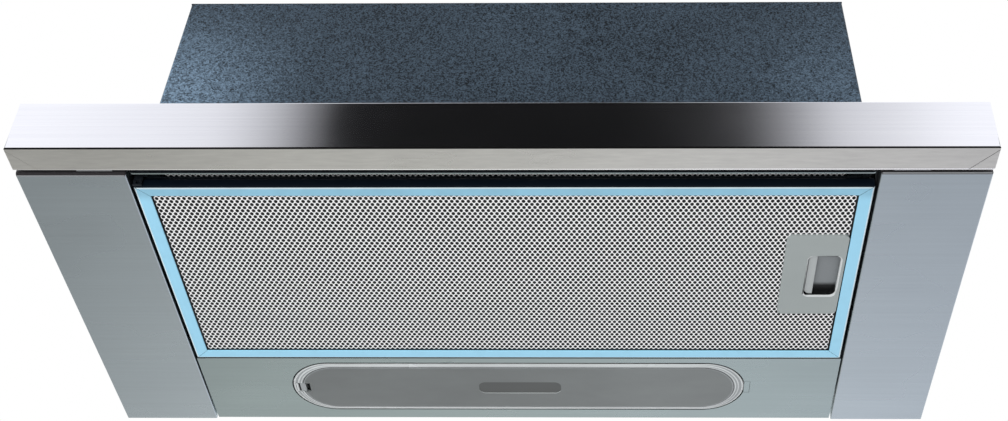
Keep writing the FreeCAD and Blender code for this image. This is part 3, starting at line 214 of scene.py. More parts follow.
class Nodes:
    """Adds nodes to a tree. A value that is another node's output is linked."""

    def __init__(self, tree):
        self.nodes = tree.nodes
        self.links = tree.links

    def feed(self, socket, value):
        if isinstance(value, bpy.types.NodeSocket):
            self.links.new(value, socket)
        else:
            socket.default_value = value

    def add(self, kind, **values):
        node = self.nodes.new("ShaderNode" + kind)
        for name, value in values.items():
            self.feed(node.inputs[name], value)
        return node

    def calc(self, operation, *values):
        node = self.add("Math")
        node.operation = operation
        for socket, value in zip(node.inputs, values):
            self.feed(socket, value)
        return node.outputs[0]

    def ranged(self, value, start, end, low=0.0, high=1.0, curve="LINEAR"):
        """A value brought from one range to another."""
        node = self.add("MapRange")
        node.interpolation_type = curve
        for socket, number in zip(node.inputs, (value, start, end, low, high)):
            self.feed(socket, number)
        return node.outputs["Result"]

    def mixed(self, factor, first, second, clamp=True):
        node = self.add("Mix")
        node.data_type = "RGBA"
        node.clamp_factor = clamp
        for name, value in (("Factor", factor), ("A", first), ("B", second)):
            self.feed(node.inputs[name], value)
        return node.outputs["Result"]

    def levels(self, value, start, end, stops, blue=1.0):
        """Brightness that follows stops between two values."""
        ramp = self.add("ValToRGB", Fac=self.ranged(value, start, end))
        elements = ramp.color_ramp.elements
        while len(elements) < len(stops):
            elements.new(0.5)
        for element, (position, level) in zip(elements, stops):
            element.position = position
            element.color = (level, level, level * blue, 1)
        return ramp.outputs["Color"]


class Finish(Nodes):
    """A node material that is built up from one surface shader."""

    def __init__(self, name, base, roughness, metallic=0.0):
        self.material = bpy.data.materials.new(name)
        self.material.use_nodes = True
        super().__init__(self.material.node_tree)
        self.surface({"Base Color": (*base, 1), "Roughness": roughness, "Metallic": metallic})
        self.base = base
        self.place = self.add("TexCoord").outputs["Object"]

    def surface(self, values):
        """Set or link values of the surface shader."""
        for name, value in values.items():
            self.feed(self.nodes["Principled BSDF"].inputs[name], value)

    def stretched(self, x, y, z):
        """Object coordinates scaled by x, y and z."""
        return self.add("Mapping", Scale=(x, y, z), Vector=self.place).outputs["Vector"]

    def noise(self, vector, scale, detail=3.0, rough=0.6):
        return self.add("TexNoise", Scale=scale, Detail=detail, Roughness=rough,
                        Vector=vector).outputs["Fac"]

    def cells(self, vector, scale):
        """One random shade to each grain of a crystalline surface."""
        cells = self.add("TexVoronoi", Scale=scale, Vector=vector)
        return self.add("SeparateColor", Color=cells.outputs["Color"]).outputs["Red"]

    def spread(self, value, low, high, reach=0.2):
        """Bring a pattern's middle range to the range from low to high."""
        return self.ranged(value, 0.5 - reach, 0.5 + reach, low, high)

    def along(self, axis, start, end, level=1.0):
        """A factor that grows from nothing to a level between two places on an axis."""
        parts = self.add("SeparateXYZ", Vector=self.place)
        return self.ranged(parts.outputs[axis], start * MM, end * MM, 0, level, "SMOOTHSTEP")

    def sum(self, first, share, second):
        """A share of one pattern, with another added."""
        return self.calc("MULTIPLY_ADD", first, share, second)

    def shade(self, value, dark, light, clamp=True):
        """Vary the base colour between a darker and a lighter share of itself."""
        ends = ((*(c * dark for c in self.base), 1), (*(min(c * light, 1) for c in self.base), 1))
        self.surface({"Base Color": self.mixed(value, *ends, clamp)})

    def roughen(self, value, low, high):
        self.surface({"Roughness": self.spread(value, low, high)})

    def bump(self, value, depth):
        bump = self.add("Bump", Strength=1, Distance=depth * MM, Height=value)
        self.surface({"Normal": bump.outputs["Normal"]})


def brushed(name, base, roughness, metallic=1.0, depth=0.01, along=(4, 900, 900), spread=0.05,
            cloudy=0.03):
    """Metal with fine lines, drawn out along the axes whose scale is small."""
    finish = Finish(name, base, roughness, metallic)
    lines = finish.noise(finish.stretched(*along), 1, 4)
    cloud = finish.noise(finish.stretched(1, 2, 1), 9, 2)
    both = finish.sum(finish.spread(cloud, 0, 1), 0.4, finish.spread(lines, 0, 0.6))
    finish.shade(both, 1 - cloudy * 2, 1 + cloudy)
    finish.roughen(cloud, roughness - spread, roughness + spread)
    finish.bump(lines, depth)
    return finish.material


def galvanised(name, base, dark, light, lit_edges=False):
    """Zinc with small bright and dark crystals; its edges can be painted lighter towards the lower
    left and right, as painted light.
    """
    finish = Finish(name, base, 0.5, 0.1)
    finish.surface({"Specular IOR Level": 0.2})
    speckle = finish.noise(finish.place, 850, 2, 0.8)
    grain = finish.cells(finish.place, 950)
    cloud = finish.noise(finish.place, 13, 4)
    crystals = finish.sum(grain, 0.35, finish.spread(speckle, -0.25, 0.9, 0.12))
    total = finish.sum(finish.spread(cloud, -0.12, 0.12), 1.0, crystals)
    # Painted light: the zinc grows lighter towards its lower left edge, and less towards its lower
    # right edge.
    if lit_edges:
        low_down = finish.along("Z", 200, 70)
        bright = finish.spread(grain, 0.2, 2.2, 0.5)
        left = finish.calc("MULTIPLY", finish.along("X", -120, -228, 1.6), low_down)
        right = finish.sum(finish.along("X", 130, 228, 0.6), low_down, left)
        total = finish.sum(right, bright, total)
    finish.shade(total, dark, light, clamp=False)
    finish.roughen(grain, 0.42, 0.6)
    finish.bump(speckle, 0.02)
    return finish.material


def moulded(name, base, roughness, depth=0.02, scale=700):
    """Plastic with a fine spark-eroded grain."""
    finish = Finish(name, base, roughness)
    grain = finish.noise(finish.place, scale, 2)
    cloud = finish.noise(finish.place, 25, 2)
    finish.shade(finish.spread(cloud, 0.3, 0.7), 0.95, 1.05)
    finish.roughen(grain, roughness - 0.04, roughness + 0.06)
    finish.bump(grain, depth)
    return finish.material


def frosted(name, base, roughness, painted_light_right=0.0):
    """Frosted plastic with slight flow marks, and painted light that can make it lighter towards
    the right.
    """
    finish = Finish(name, base, roughness)
    finish.surface({"Transmission Weight": 0.15, "IOR": 1.49})
    flow = finish.noise(finish.stretched(1, 2, 1), 14, 3)
    # Painted light: lighter towards the right.
    shade = finish.sum(finish.spread(flow, 0, 1), 1.0, finish.along("X", -40, 110, painted_light_right))
    finish.shade(shade, 0.9, 1.12, clamp=False)
    finish.roughen(flow, roughness - 0.05, roughness + 0.05)
    finish.bump(flow, 0.05)
    return finish.material


def filmed(name, base, roughness):
    """Metal under a pale film that clings in places, with painted shade along the front strip."""
    finish = Finish(name, base, roughness)
    finish.surface({"Coat Weight": 0.2, "Coat Roughness": 0.2})
    cling = finish.noise(finish.stretched(1, 1, 4), 60, 3)
    # Painted shade: the front strip is painted darker.
    front = finish.along("Y", -100, -108, 0.75)
    finish.shade(finish.sum(finish.spread(cling, -0.15, 0.15), 1.0, front), 1.05, 0.72)
    finish.bump(cling, 0.05)
    return finish.material


def hollowed(name, base, roughness):
    """Moulded plastic painted darker towards its back end, as painted shade."""
    finish = Finish(name, base, roughness)
    grain = finish.noise(finish.place, 700, 2)
    # Painted shade: darker towards the back end of the recess.
    edge = finish.along("Y", -14, -9)
    finish.shade(finish.sum(finish.spread(grain, -0.03, 0.03), 1.0, edge), 1.0, 0.04)
    finish.bump(grain, 0.02)
    return finish.material


FINISHES = {}


def every_finish(tint):
    return dict(
        front=brushed("front steel", tint.steel, 0.08, depth=0.001, spread=0.02),
        under=brushed("underside steel", tint.under_steel, 0.3, 0.95,
                      along=(60, 400, 60), cloudy=0.06),
        hem=brushed("hem steel", tint.hem, 0.15, 0.95, depth=0.001),
        seam=moulded("seam shade", tint.stack, 0.6),
        wing=brushed("wing steel", tint.wing, 0.28, 0.95, 0.003, (6, 500, 500)),
        wing_fold=brushed("wing's fold in painted shade", tint.wing_fold, 0.35, 0.6),
        wing_line=brushed("wing's edge highlight", tint.wing_line, 0.5, 0.1),
        lamp_sheet=brushed("lamp panel steel", tint.lamp_sheet, 0.28, 0.95, 0.003, (6, 500, 500)),
        # Painted light: the box's zinc is lighter towards its lower left and right edges.
        zinc=galvanised("spangled zinc", tint.zinc, 0.3, 2.0, True),
        inner_zinc=galvanised("zinc in painted shade", tint.inner_zinc, 0.6, 1.6),
        rail=brushed("rail zinc", tint.rail, 0.35, along=(600, 6, 600)),
        steel=brushed("ground steel", tint.steel, 0.2, along=(600, 600, 600)),
        film=filmed("filmed frame", tint.film, 0.35),
        film_edge=filmed("film edge highlight", tint.film_edge, 0.3),
        strip_side=brushed("strip side in painted shade", tint.strip_side, 0.4, 0.3),
        aluminium=brushed("rolled aluminium", tint.aluminium, 0.3),
        reflector=brushed("reflector aluminium", tint.aluminium, 0.3, 0.8),
        mesh=brushed("mesh aluminium", tint.mesh, 0.45, 0.1, 0.01, (300, 300, 300)),
        stack=moulded("stack of mesh", tint.stack, 0.6, 0.4, 350),
        latch=moulded("latch moulding", tint.latch, 0.45),
        slider=moulded("latch slider", tint.slider, 0.35),
        bead=moulded("latch bead", tint.bead, 0.35),
        recess=hollowed("latch recess", tint.recess, 0.5),
        lens=frosted("frosted cover", tint.lens, 0.35, 0.9),
        lens_pale=frosted("cover's pale ring", tint.lens_pale, 0.25),
        lens_grey=frosted("cover's grey ring", tint.lens_grey, 0.25),
        lens_line=moulded("cover line", tint.lens_line, 0.4),
        lens_pad=frosted("cover's plain pad", tint.lens_pad, 0.4),
        lamp=moulded("opal lamp", tint.lamp, 0.3, 0.005),
        holder=moulded("lamp holder", tint.holder, 0.4),
        black=moulded("black moulding", tint.black, 0.45),
        knob=moulded("knob moulding", tint.knob, 0.35),
        glide=moulded("glide moulding", tint.lamp, 0.35),
        rubber=moulded("stop rubber", tint.rubber, 0.75, 0.05, 300),
        fan=moulded("fan moulding", tint.fan, 0.4),
        motor=moulded("motor paint", tint.motor, 0.35),
    )


def finish_of(name):
    """One of the finishes. All are made when the first is asked for."""
    if not FINISHES:
        FINISHES.update(every_finish(colours()))
    return FINISHES[name]


# Modelling

def only(*pieces):
    """Select these pieces alone, or none, the last one active."""
    bpy.ops.object.select_all(action="DESELECT")
    for piece in pieces:
        piece.select_set(True)
        bpy.context.view_layer.objects.active = piece


def settle(piece):
    """Put a piece's place in its mesh."""
    only(piece)
    bpy.ops.object.transform_apply(location=True, rotation=True, scale=True)


def added(name, scale=(1, 1, 1)):
    """Name the mesh that was just added, and settle it at a scale."""
    piece = bpy.context.object
    piece.name = name
    piece.scale = scale
    settle(piece)
    return piece


def block(name, low, high):
    """A box between two corners."""
    only()
    low, high = Vector(low), Vector(high)
    bpy.ops.mesh.primitive_cube_add(size=1, location=(low + high) / 2)
    return added(name, high - low)


class Editing:
    """Edit mode on one piece, with helpers that select by place."""

    def __init__(self, piece):
        self.piece = piece

    def __enter__(self):
        only(self.piece)
        bpy.ops.object.mode_set(mode="EDIT")
        return self

    def __exit__(self, *failure):
        bpy.ops.object.mode_set(mode="OBJECT")

    def pick(self, kind, test):
        bpy.ops.mesh.select_mode(type=kind)
        bpy.ops.mesh.select_all(action="DESELECT")
        shape = bmesh.from_edit_mesh(self.piece.data)
        parts = {"VERT": shape.verts, "EDGE": shape.edges, "FACE": shape.faces}[kind]
        for part in parts:
            if test(part):
                part.select_set(True)
        shape.select_flush_mode()
        bmesh.update_edit_mesh(self.piece.data)

    def all(self):
        bpy.ops.mesh.select_mode(type="VERT")
        bpy.ops.mesh.select_all(action="SELECT")

    def move(self, test, x=0, y=0, z=0):
        """Shift the points that are chosen."""
        self.pick("VERT", test)
        bpy.ops.transform.translate(value=(x, y, z))

    def round(self, test, width, segments):
        """Round the edges that are chosen."""
        self.pick("EDGE", test)
        bpy.ops.mesh.bevel(offset=width, segments=segments, affect="EDGES")

    def lift(self, depth):
        """Draw the chosen faces out along Z."""
        bpy.ops.mesh.extrude_region_move(TRANSFORM_OT_translate={"value": (0, 0, depth)})

    def colour(self, slot):
        """Give the chosen faces one of the piece's finishes."""
        self.piece.active_material_index = slot
        bpy.ops.object.material_slot_assign()


def middle(part):
    """The mean of an edge's or face's points."""
    return sum((vert.co for vert in part.verts), Vector()) / len(part.verts)


def apply_modifier(piece, kind, **settings):
    only(piece)
    modifier = piece.modifiers.new(kind.title(), kind)
    for name, value in settings.items():
        setattr(modifier, name, value)
    bpy.ops.object.modifier_apply(modifier=modifier.name)


def smooth(piece, degrees=35):
    """Smooth the rounded edges and keep the flat faces flat."""
    only(piece)
    if piece.data.has_custom_normals:
        bpy.ops.mesh.customdata_custom_splitnormals_clear()
    bpy.ops.object.shade_smooth_by_angle(angle=math.radians(degrees))
    apply_modifier(piece, "WEIGHTED_NORMAL", keep_sharp=True, weight=100)


def ease(piece, width, segments):
    """Round a piece's sharp edges."""
    apply_modifier(piece, "BEVEL", width=width, segments=segments, limit_method="ANGLE",
                   angle_limit=math.radians(40))
    smooth(piece)


def paint(piece, *names):
    piece.data.materials.clear()
    for name in names:
        piece.data.materials.append(finish_of(name))


def body_of(node):
    return next(body for body, nodes in frame["record"]["behaviour"]["bodies"].items()
                if node in nodes)


def stands_for(piece, *nodes):
    """Put a finished piece in the place of CAD nodes."""
    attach(piece, body_of(nodes[0]))
    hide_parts(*nodes)


def coat(piece, slot, test):
    """Give the chosen faces another of the piece's finishes."""
    with Editing(piece) as edit:
        edit.pick("FACE", test)
        edit.colour(slot)


def rule(piece, slot, test, point, across, width, push=0.0):
    """Mark a narrow strip on chosen faces, and push it into them where it is a groove."""
    point, across = Vector(point), Vector(across).normalized()
    with Editing(piece) as edit:
        for shift in (-width / 2, width / 2):
            edit.pick("FACE", test)
            bpy.ops.mesh.bisect(plane_co=point + across * shift, plane_no=across)
        edit.pick("FACE", lambda face: test(face)
                  and abs((middle(face) - point).dot(across)) < width / 2)
        if push:
            edit.lift(push)
        edit.colour(slot)


def carve(piece, *tools):
    """Cut other pieces out of a piece."""
    for tool in tools:
        apply_modifier(piece, "BOOLEAN", operation="DIFFERENCE", object=tool, solver="EXACT")
        bpy.data.objects.remove(tool)


def joined(name, *pieces):
    only(*pieces)
    bpy.ops.object.join()
    piece = bpy.context.object
    piece.name = name
    return piece


def rod(name, radius, start, end):
    """A short round bar along Y, with softened ends."""
    start, end = Vector(start), Vector(end)
    only()
    bpy.ops.mesh.primitive_cylinder_add(vertices=24, radius=radius, depth=(end - start).length,
                                        location=(start + end) / 2, rotation=(math.pi / 2, 0, 0))
    piece = added(name)
    ease(piece, radius * 0.25, 2)
    return piece


def copied(node, name):
    """A copy of a CAD node as one clean mesh, to be worked on."""
    only(frame["nodes"][node])
    bpy.ops.object.duplicate()
    piece = bpy.context.object
    piece.name = name
    piece.parent = None
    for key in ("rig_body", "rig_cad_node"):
        if key in piece:
            del piece[key]
    with Editing(piece) as edit:
        edit.all()
        bpy.ops.mesh.remove_doubles(threshold=0.002 * MM)
        bpy.ops.mesh.dissolve_limited(angle_limit=math.radians(1))
    return piece


def softened(node, name, finishes, width, segments=2, shape=None):
    """A copy of a CAD node, shaped further, with its edges rounded, in the node's place."""
    piece = copied(node, name)
    if shape:
        shape(piece)
    ease(piece, width, segments)
    paint(piece, *finishes.split())
    stands_for(piece, node)
    return piece


def dressed(finish, *nodes):
    """Give CAD nodes a finish and leave their shapes."""
    for node in nodes:
        paint(frame["nodes"][node], finish)


# Groups of pieces

class HOOD_OT_front(bpy.types.Operator):
    """Fold the front panel, with its mitred ends, a painted highlight along the back of its
    underside and painted shade along its front fold
    """

    bl_idname = "hood.front"
    bl_label = "Front panel"

    def execute(self, context):
        low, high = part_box("front_panel")
        size = sizes()

        def fold_edges(panel):
            for y, width in ((low.y, size.fold), (high.y, size.hem)):
                with Editing(panel) as edit:
                    edit.round(lambda edge: all(v.co.z < low.z + NEAR and abs(v.co.y - y) < NEAR
                                                for v in edge.verts), width, 3)

        panel = softened("front_panel", "front_face", "front under hem seam", 0.2 * MM,
                         shape=fold_edges)

        def underside(face):
            return face.normal.z < -0.99 and middle(face).z < low.z + CLOSE

        coat(panel, 1, lambda face: face.normal.z < -0.9)
        # Painted highlight: the rounding along the back of the underside is painted near white.
        coat(panel, 2, lambda face: face.normal.y > 0.1 and face.normal.z < -0.1
             and middle(face).y > high.y - size.hem)
        # Painted shade: the rounding along the front edge is painted near black, as the seams are.
        coat(panel, 3, lambda face: -0.98 < face.normal.z < -0.1 and face.normal.y < -0.1)
        for end, side in ((low.x, -1), (high.x, 1)):
            rule(panel, 3, underside, (end, low.y + SEAM_IN, low.z), (side * 1.1, 1, 0),
                 size.seam * (0.4 if side < 0 else 1), SEAM_DEEP)
        smooth(panel)
        dressed("rail", "panel_backing")
        return {"FINISHED"}


def round_wing(wing):
    """Round the wing's front edge, which shows as a dark line behind the front panel."""
    low = min(vert.co.y for vert in wing.data.vertices)
    rounding = sizes().wing_left if wing.data.vertices[0].co.x < 0 else sizes().wing_right
    with Editing(wing) as edit:
        edit.round(lambda edge: all(v.co.y < low + NEAR and v.co.z < NEAR for v in edge.verts),
                   rounding, 4)


def step_lip(tray):
    """Step the foot of the drawer's lip back, clear of the front panel, and round its corners."""
    low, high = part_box("drawer_tray")
    front = low.y + LIP_SHEET
    foot = low.z + LIP_FOOT

    def lip(face):
        return all(vert.co.y < front for vert in face.verts)

    with Editing(tray) as edit:
        for level in (foot, foot + LIP_SLOPE):
            edit.pick("FACE", lip)
            bpy.ops.mesh.bisect(plane_co=(0, 0, level), plane_no=(0, 0, 1))
        edit.move(lambda v: v.co.y < front and v.co.z < foot + NEAR, y=sizes().lip_step)
        edit.round(lambda edge: all(v.co.z < low.z + NEAR for v in edge.verts)
                   and abs(middle(edge).x) > high.x - NEAR, LIP_CORNER, 4)


class HOOD_OT_sheets(bpy.types.Operator):
    """Fold the wings, the lamp panel, the drawer's tray and its arms"""

    bl_idname = "hood.sheets"
    bl_label = "Sheets and slides"

    def execute(self, context):
        for side, start, end in (("left", -0.3, -0.15), ("right", -0.9, -0.3)):
            wing = softened("wing_" + side, "wing_sheet_" + side, "wing wing_fold wing_line",
                            sizes().wing_edge, 3, round_wing)
            # Painted shade: the wing's front wall and fold are painted near black.
            coat(wing, 1, lambda face: face.normal.y < -0.15 and face.normal.z > -0.99)
            # Painted highlight: a lighter line along the fold.
            coat(wing, 2, lambda face: start < face.normal.y < end and face.normal.z < -0.4
                 and abs(face.normal.x) < 0.1)
            dressed("rail", "side_arm_" + side, "outer_rail_" + side, "inner_rail_" + side)
        softened("lamp_panel", "lamp_sheet", "lamp_sheet", 0.25 * MM)
        tray = softened("drawer_tray", "tray_sheet", "lamp_sheet inner_zinc", 0.2 * MM,
                        shape=step_lip)
        # Painted shade: the tray above its floor and the lip's front faces are painted near black.
        coat(tray, 1, lambda face: middle(face).z > TRAY_FLOOR or face.normal.y < -0.25)
        dressed("rail", "roller_cages")
        dressed("steel", "slide_rollers")
        dressed("glide", "tray_glides")
        dressed("rubber", "drawer_stops")
        dressed("black", "drawer_switch")
        return {"FINISHED"}


def flare_box(shell):
    """Let the box's sides stand out above the slides and lean in to the lid."""
    low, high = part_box("housing_shell")
    top = low.z + FLARE_FOOT + FLARE_RUN
    side = high.x - FLARE_RUN
    with Editing(shell) as edit:
        for level in (top - FLARE_RUN, top):
            edit.all()
            bpy.ops.mesh.bisect(plane_co=(0, 0, level), plane_no=(0, 0, 1))
        for way in (-1, 1):
            edit.move(lambda v: v.co.x * way > side and abs(v.co.z - top) < NEAR,
                      x=way * sizes().flare)


class HOOD_OT_box(bpy.types.Operator):
    """Fold the galvanised box, its lid and its base frame"""

    bl_idname = "hood.box"
    bl_label = "Galvanised box"

    def execute(self, context):
        softened("housing_shell", "box_shell", "zinc", 0.3 * MM, shape=flare_box)
        softened("housing_top", "box_lid", "zinc", 0.25 * MM)
        flanges = copied("base_frame", "base_flanges")
        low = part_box("base_frame")[0]
        carve(flanges, block("front_cut", (-FLANGE_HALF, low.y - MM, FLANGE_LOW),
                             (FLANGE_HALF, low.y + FLANGE_DEEP, FLANGE_HIGH)))
        smooth(flanges)
        # Painted shade: the flanges and the bolt keeper are painted near black.
        paint(flanges, "inner_zinc")
        stands_for(flanges, "base_frame")
        dressed("inner_zinc", "bolt_keeper")
        return {"FINISHED"}


def strip(name, start, end, inward, finishes, tall):
    """One mitred strip of a filter frame, its finishes those of its face, of its sides in painted
    shade and of a painted highlight on its outer edge.
    """
    along = (end - start).normalized()
    wide, gap = sizes().strip, sizes().mitre
    long = (end - start).length
    piece = block(name, (0, 0, 0), (long, wide, tall))
    with Editing(piece) as edit:
        for near in (True, False):
            way = 1 if near else -1
            edit.move(lambda v: v.co.y > wide / 2 and (v.co.x < long / 2) == near, x=way * wide)
            edit.move(lambda v: (v.co.x < long / 2) == near, x=way * gap)
        outer = STRIP_FRONT if inward.y > 0 else STRIP_OUTER
        for near, rounding in ((True, outer), (False, STRIP_INNER)):
            edit.round(lambda e: abs(middle(e).x - long / 2) < CLOSE
                       and (middle(e).y < wide / 2) == near, rounding, 3)
        edit.all()
        bpy.ops.mesh.normals_make_consistent(inside=False)
    turn = Matrix((
        (along.x, inward.x, 0, start.x), (along.y, inward.y, 0, start.y), (0, 0, 1, start.z),
        (0, 0, 0, 1),
    ))
    piece.data.transform(turn)
    if turn.determinant() < 0:
        piece.data.flip_normals()
    smooth(piece, 40)
    paint(piece, *finishes.split())
    # Painted shade: the sides, and on the front strip also the steeper faces of its rounded edges,
    # take the second finish; painted highlight: the outer edge's rounding takes the third.
    shaded = 0.8 if inward.y > 0 else 0.2
    coat(piece, 1, lambda face: face.normal.z > -shaded)
    coat(piece, 2, lambda face: -0.99 < face.normal.z < -shaded and face.normal.dot(inward) < 0)
    return piece


def filter_frame(node, name, finishes, pins):
    """Four mitred strips round a filter, and the two pins that it hangs on."""
    low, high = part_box(node)
    low.y += pins
    high.y -= pins
    tall = high.z - low.z
    corners = [Vector((x, y, low.z)) for x, y in ((low.x, low.y), (high.x, low.y),
                                                  (high.x, high.y), (low.x, high.y))]
    inward = [Vector((x, y, 0)) for x, y in ((0, 1), (-1, 0), (0, -1), (1, 0))]
    parts = []
    for number, (start, way) in enumerate(zip(corners, inward)):
        end = corners[(number + 1) % 4]
        parts.append(strip("%s_%d" % (name, number), start, end, way, finishes, tall))
    if pins:
        x, z = low.x + PIN_IN, PIN_IN
        for near, far in ((low.y - pins, low.y + PIN_ROOT), (high.y - PIN_ROOT, high.y + pins)):
            pin = rod(name + "_pin", PIN_RADIUS, (x, near, z), (x, far, z))
            paint(pin, "steel")
            parts.append(pin)
    return joined(name, *parts)


def lattice(node, name, low, high, hollow):
    """Expanded mesh: one six-sided cell with its hole, repeated along its rows and across them."""
    size = sizes()
    pitch, row = size.hole_pitch, size.row_pitch
    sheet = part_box(node)
    tall = sheet[1].z - sheet[0].z
    only()
    bpy.ops.mesh.primitive_circle_add(vertices=6, radius=1, fill_type="NGON")
    cell = added(name, (pitch / math.sqrt(3), row * 2 / 3, 1))
    inset = 0.05 * MM
    with Editing(cell) as edit:
        edit.all()
        bpy.ops.mesh.flip_normals()
        bpy.ops.mesh.inset(thickness=inset, depth=0)
        edit.pick("FACE", lambda face: middle(face).length < inset)
        bpy.ops.transform.resize(value=(size.hole_wide / pitch, size.hole_long / (row * 4 / 3), 1),
                                 center_override=(0, 0, 0))
        edit.lift(tall)
        bpy.ops.mesh.delete(type="ONLY_FACE")
    paint(cell, "mesh", "strip_side")
    # Painted shade: the walls of the holes are painted near black.
    coat(cell, 1, lambda face: abs(face.normal.z) < 0.5)
    across = int((high.x - low.x) / pitch) + 2
    rows = int((high.y - low.y) / (row * 2)) + 2
    for count, offset in ((2, (pitch / 2, row, 0)), (across, (pitch, 0, 0)),
                          (rows, (0, row * 2, 0))):
        apply_modifier(cell, "ARRAY", count=count, use_relative_offset=False,
                       use_constant_offset=True, constant_offset_displace=offset)
    cell.location = ((low.x + high.x - across * pitch) / 2, (low.y + high.y) / 2 - rows * row,
                     sheet[0].z)
    settle(cell)
    with Editing(cell) as edit:
        for corner, outward in ((low, (-1, 0, 0)), (low, (0, -1, 0)), (high, (1, 0, 0)),
                                (high, (0, 1, 0))):
            edit.all()
            bpy.ops.mesh.bisect(plane_co=corner, plane_no=outward, clear_outer=True)
        edit.all()
        bpy.ops.mesh.remove_doubles(threshold=NEAR)
        if hollow:
            near, far = hollow
            edit.pick("VERT", lambda v: near.x < v.co.x < far.x and near.y < v.co.y < far.y)
            bpy.ops.mesh.delete(type="VERT")
    stands_for(cell, node)


class HOOD_OT_filters(bpy.types.Operator):
    """Make both grease filters, with their frames, meshes and the stacks behind them"""

    bl_idname = "hood.filters"
    bl_label = "Grease filters"

    def execute(self, context):
        plate_low, plate_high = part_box("latch_plate")
        keeper_low, keeper_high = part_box("bolt_keeper")
        room = Vector((0.6, 2, 0.6)) * MM
        notch = block("notch", keeper_low - room, keeper_high + room + Vector((0, 0, 1)) * MM)
        frame_piece = filter_frame("filter_frame", "filmed_strips", "film strip_side film_edge",
                                   PIN_REACH)
        carve(frame_piece, notch)
        stands_for(frame_piece, "filter_frame")
        drawer_piece = filter_frame("drawer_filter_frame", "drawer_strips",
                                    "aluminium aluminium aluminium", 0)
        stands_for(drawer_piece, "drawer_filter_frame")
        inner = sizes().strip + sizes().mesh_gap
        rim = Vector((MM, MM, 0))
        for node, name, pins, hollow in (
            ("filter", "fine_mesh", PIN_REACH, (plate_low + rim, plate_high - rim)),
            ("drawer_filter", "drawer_fine_mesh", 0, None),
        ):
            low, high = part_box(node + "_frame")
            low += Vector((inner, sizes().strip + pins, 0))
            high -= Vector((inner, inner + pins, 0))
            lattice(node + "_mesh", name, low, high, hollow)
            dressed("stack", node + "_pad")
        return {"FINISHED"}


def square_corner(piece, corner, reach, tall):
    """Pull a rounded corner's points together into the corner itself."""
    for mouth in (True, False):
        with Editing(piece) as edit:
            edit.pick("VERT", lambda v: abs(v.co.x - corner.x) < reach
                      and abs(v.co.y - corner.y) < reach and v.co.z < tall
                      and (v.co.z < CLOSE) == mouth)
            shape = bmesh.from_edit_mesh(piece.data)
            chosen = [v.co for v in shape.verts if v.select]
            here = sum(chosen, Vector()) / len(chosen)
            bpy.ops.mesh.merge(type="CENTER")
            bpy.ops.transform.translate(value=(corner.x - here.x, corner.y - here.y, 0))


class HOOD_OT_latch(bpy.types.Operator):
    """Shape the fixed filter's latch plate, its slider and spring"""

    bl_idname = "hood.latch"
    bl_label = "Filter latch"

    def execute(self, context):
        low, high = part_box("latch_plate")
        hole_low = Vector((high.x - RECESS_LEFT, low.y + RECESS_FRONT, 0))
        hole_high = Vector((high.x - RECESS_RIGHT, low.y + RECESS_BACK, 0))

        def round_hole(point, room):
            return (hole_low.x - room < point.x < hole_high.x + room
                    and hole_low.y - room < point.y < hole_high.y + room)

        def shape(plate):
            corners = [Vector((x, y)) for x in (hole_low.x, hole_high.x)
                       for y in (hole_low.y, hole_high.y)]
            for corner in corners:
                square_corner(plate, corner, CORNER_REACH, RECESS_DEEP)
            with Editing(plate) as edit:
                edit.round(lambda e: middle(e).z < CORNER_HIGH and any(
                    all((v.co.xy - corner).length < 5 * NEAR for v in e.verts)
                    for corner in corners), sizes().recess_round, 6)
                edit.round(lambda e: all(v.co.z < NEAR and round_hole(v.co, 5 * NEAR)
                                         for v in e.verts), sizes().bead, 3)

        plate = softened("latch_plate", "latch_cover", "latch bead recess", 0.4 * MM, 3, shape)
        bead = sizes().bead
        # Painted shade inside the recess, and a painted highlight on the bead round its mouth.
        coat(plate, 2, lambda face: round_hole(middle(face), CLOSE)
             and bead < middle(face).z < RECESS_DEEP)
        coat(plate, 1, lambda face: round_hole(middle(face), bead * 1.3)
             and middle(face).z < bead and abs(face.normal.z) < 0.995)

        def round_bar(bar):
            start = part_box("latch_slider")[0]
            with Editing(bar) as edit:
                edit.round(lambda e: all(v.co.x < start.x + NEAR for v in e.verts)
                           and abs(e.verts[0].co.y - e.verts[1].co.y) < NEAR,
                           sizes().recess_round, 6)

        softened("latch_slider", "latch_bar", "slider", 0.4 * MM, shape=round_bar)
        spring = copied("latch_spring", "bolt_spring")
        smooth(spring)
        paint(spring, "steel")
        stands_for(spring, "latch_spring")
        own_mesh(spring)
        return {"FINISHED"}


# The rings round the cover's pane: width along its sides, width at its ends, finish
# Painted highlight: the pale rings stand for light on the ridges round the pane.
RINGS = ((0.9, 1.3, 1), (0.3, 1.7, 2), (1.5, 1.0, 1), (0.3, 1.2, 2), (0.3, 0.9, 1), (0.4, 0.4, 2),
         (0.6, 0.6, 3), (0.4, 0.7, 2))


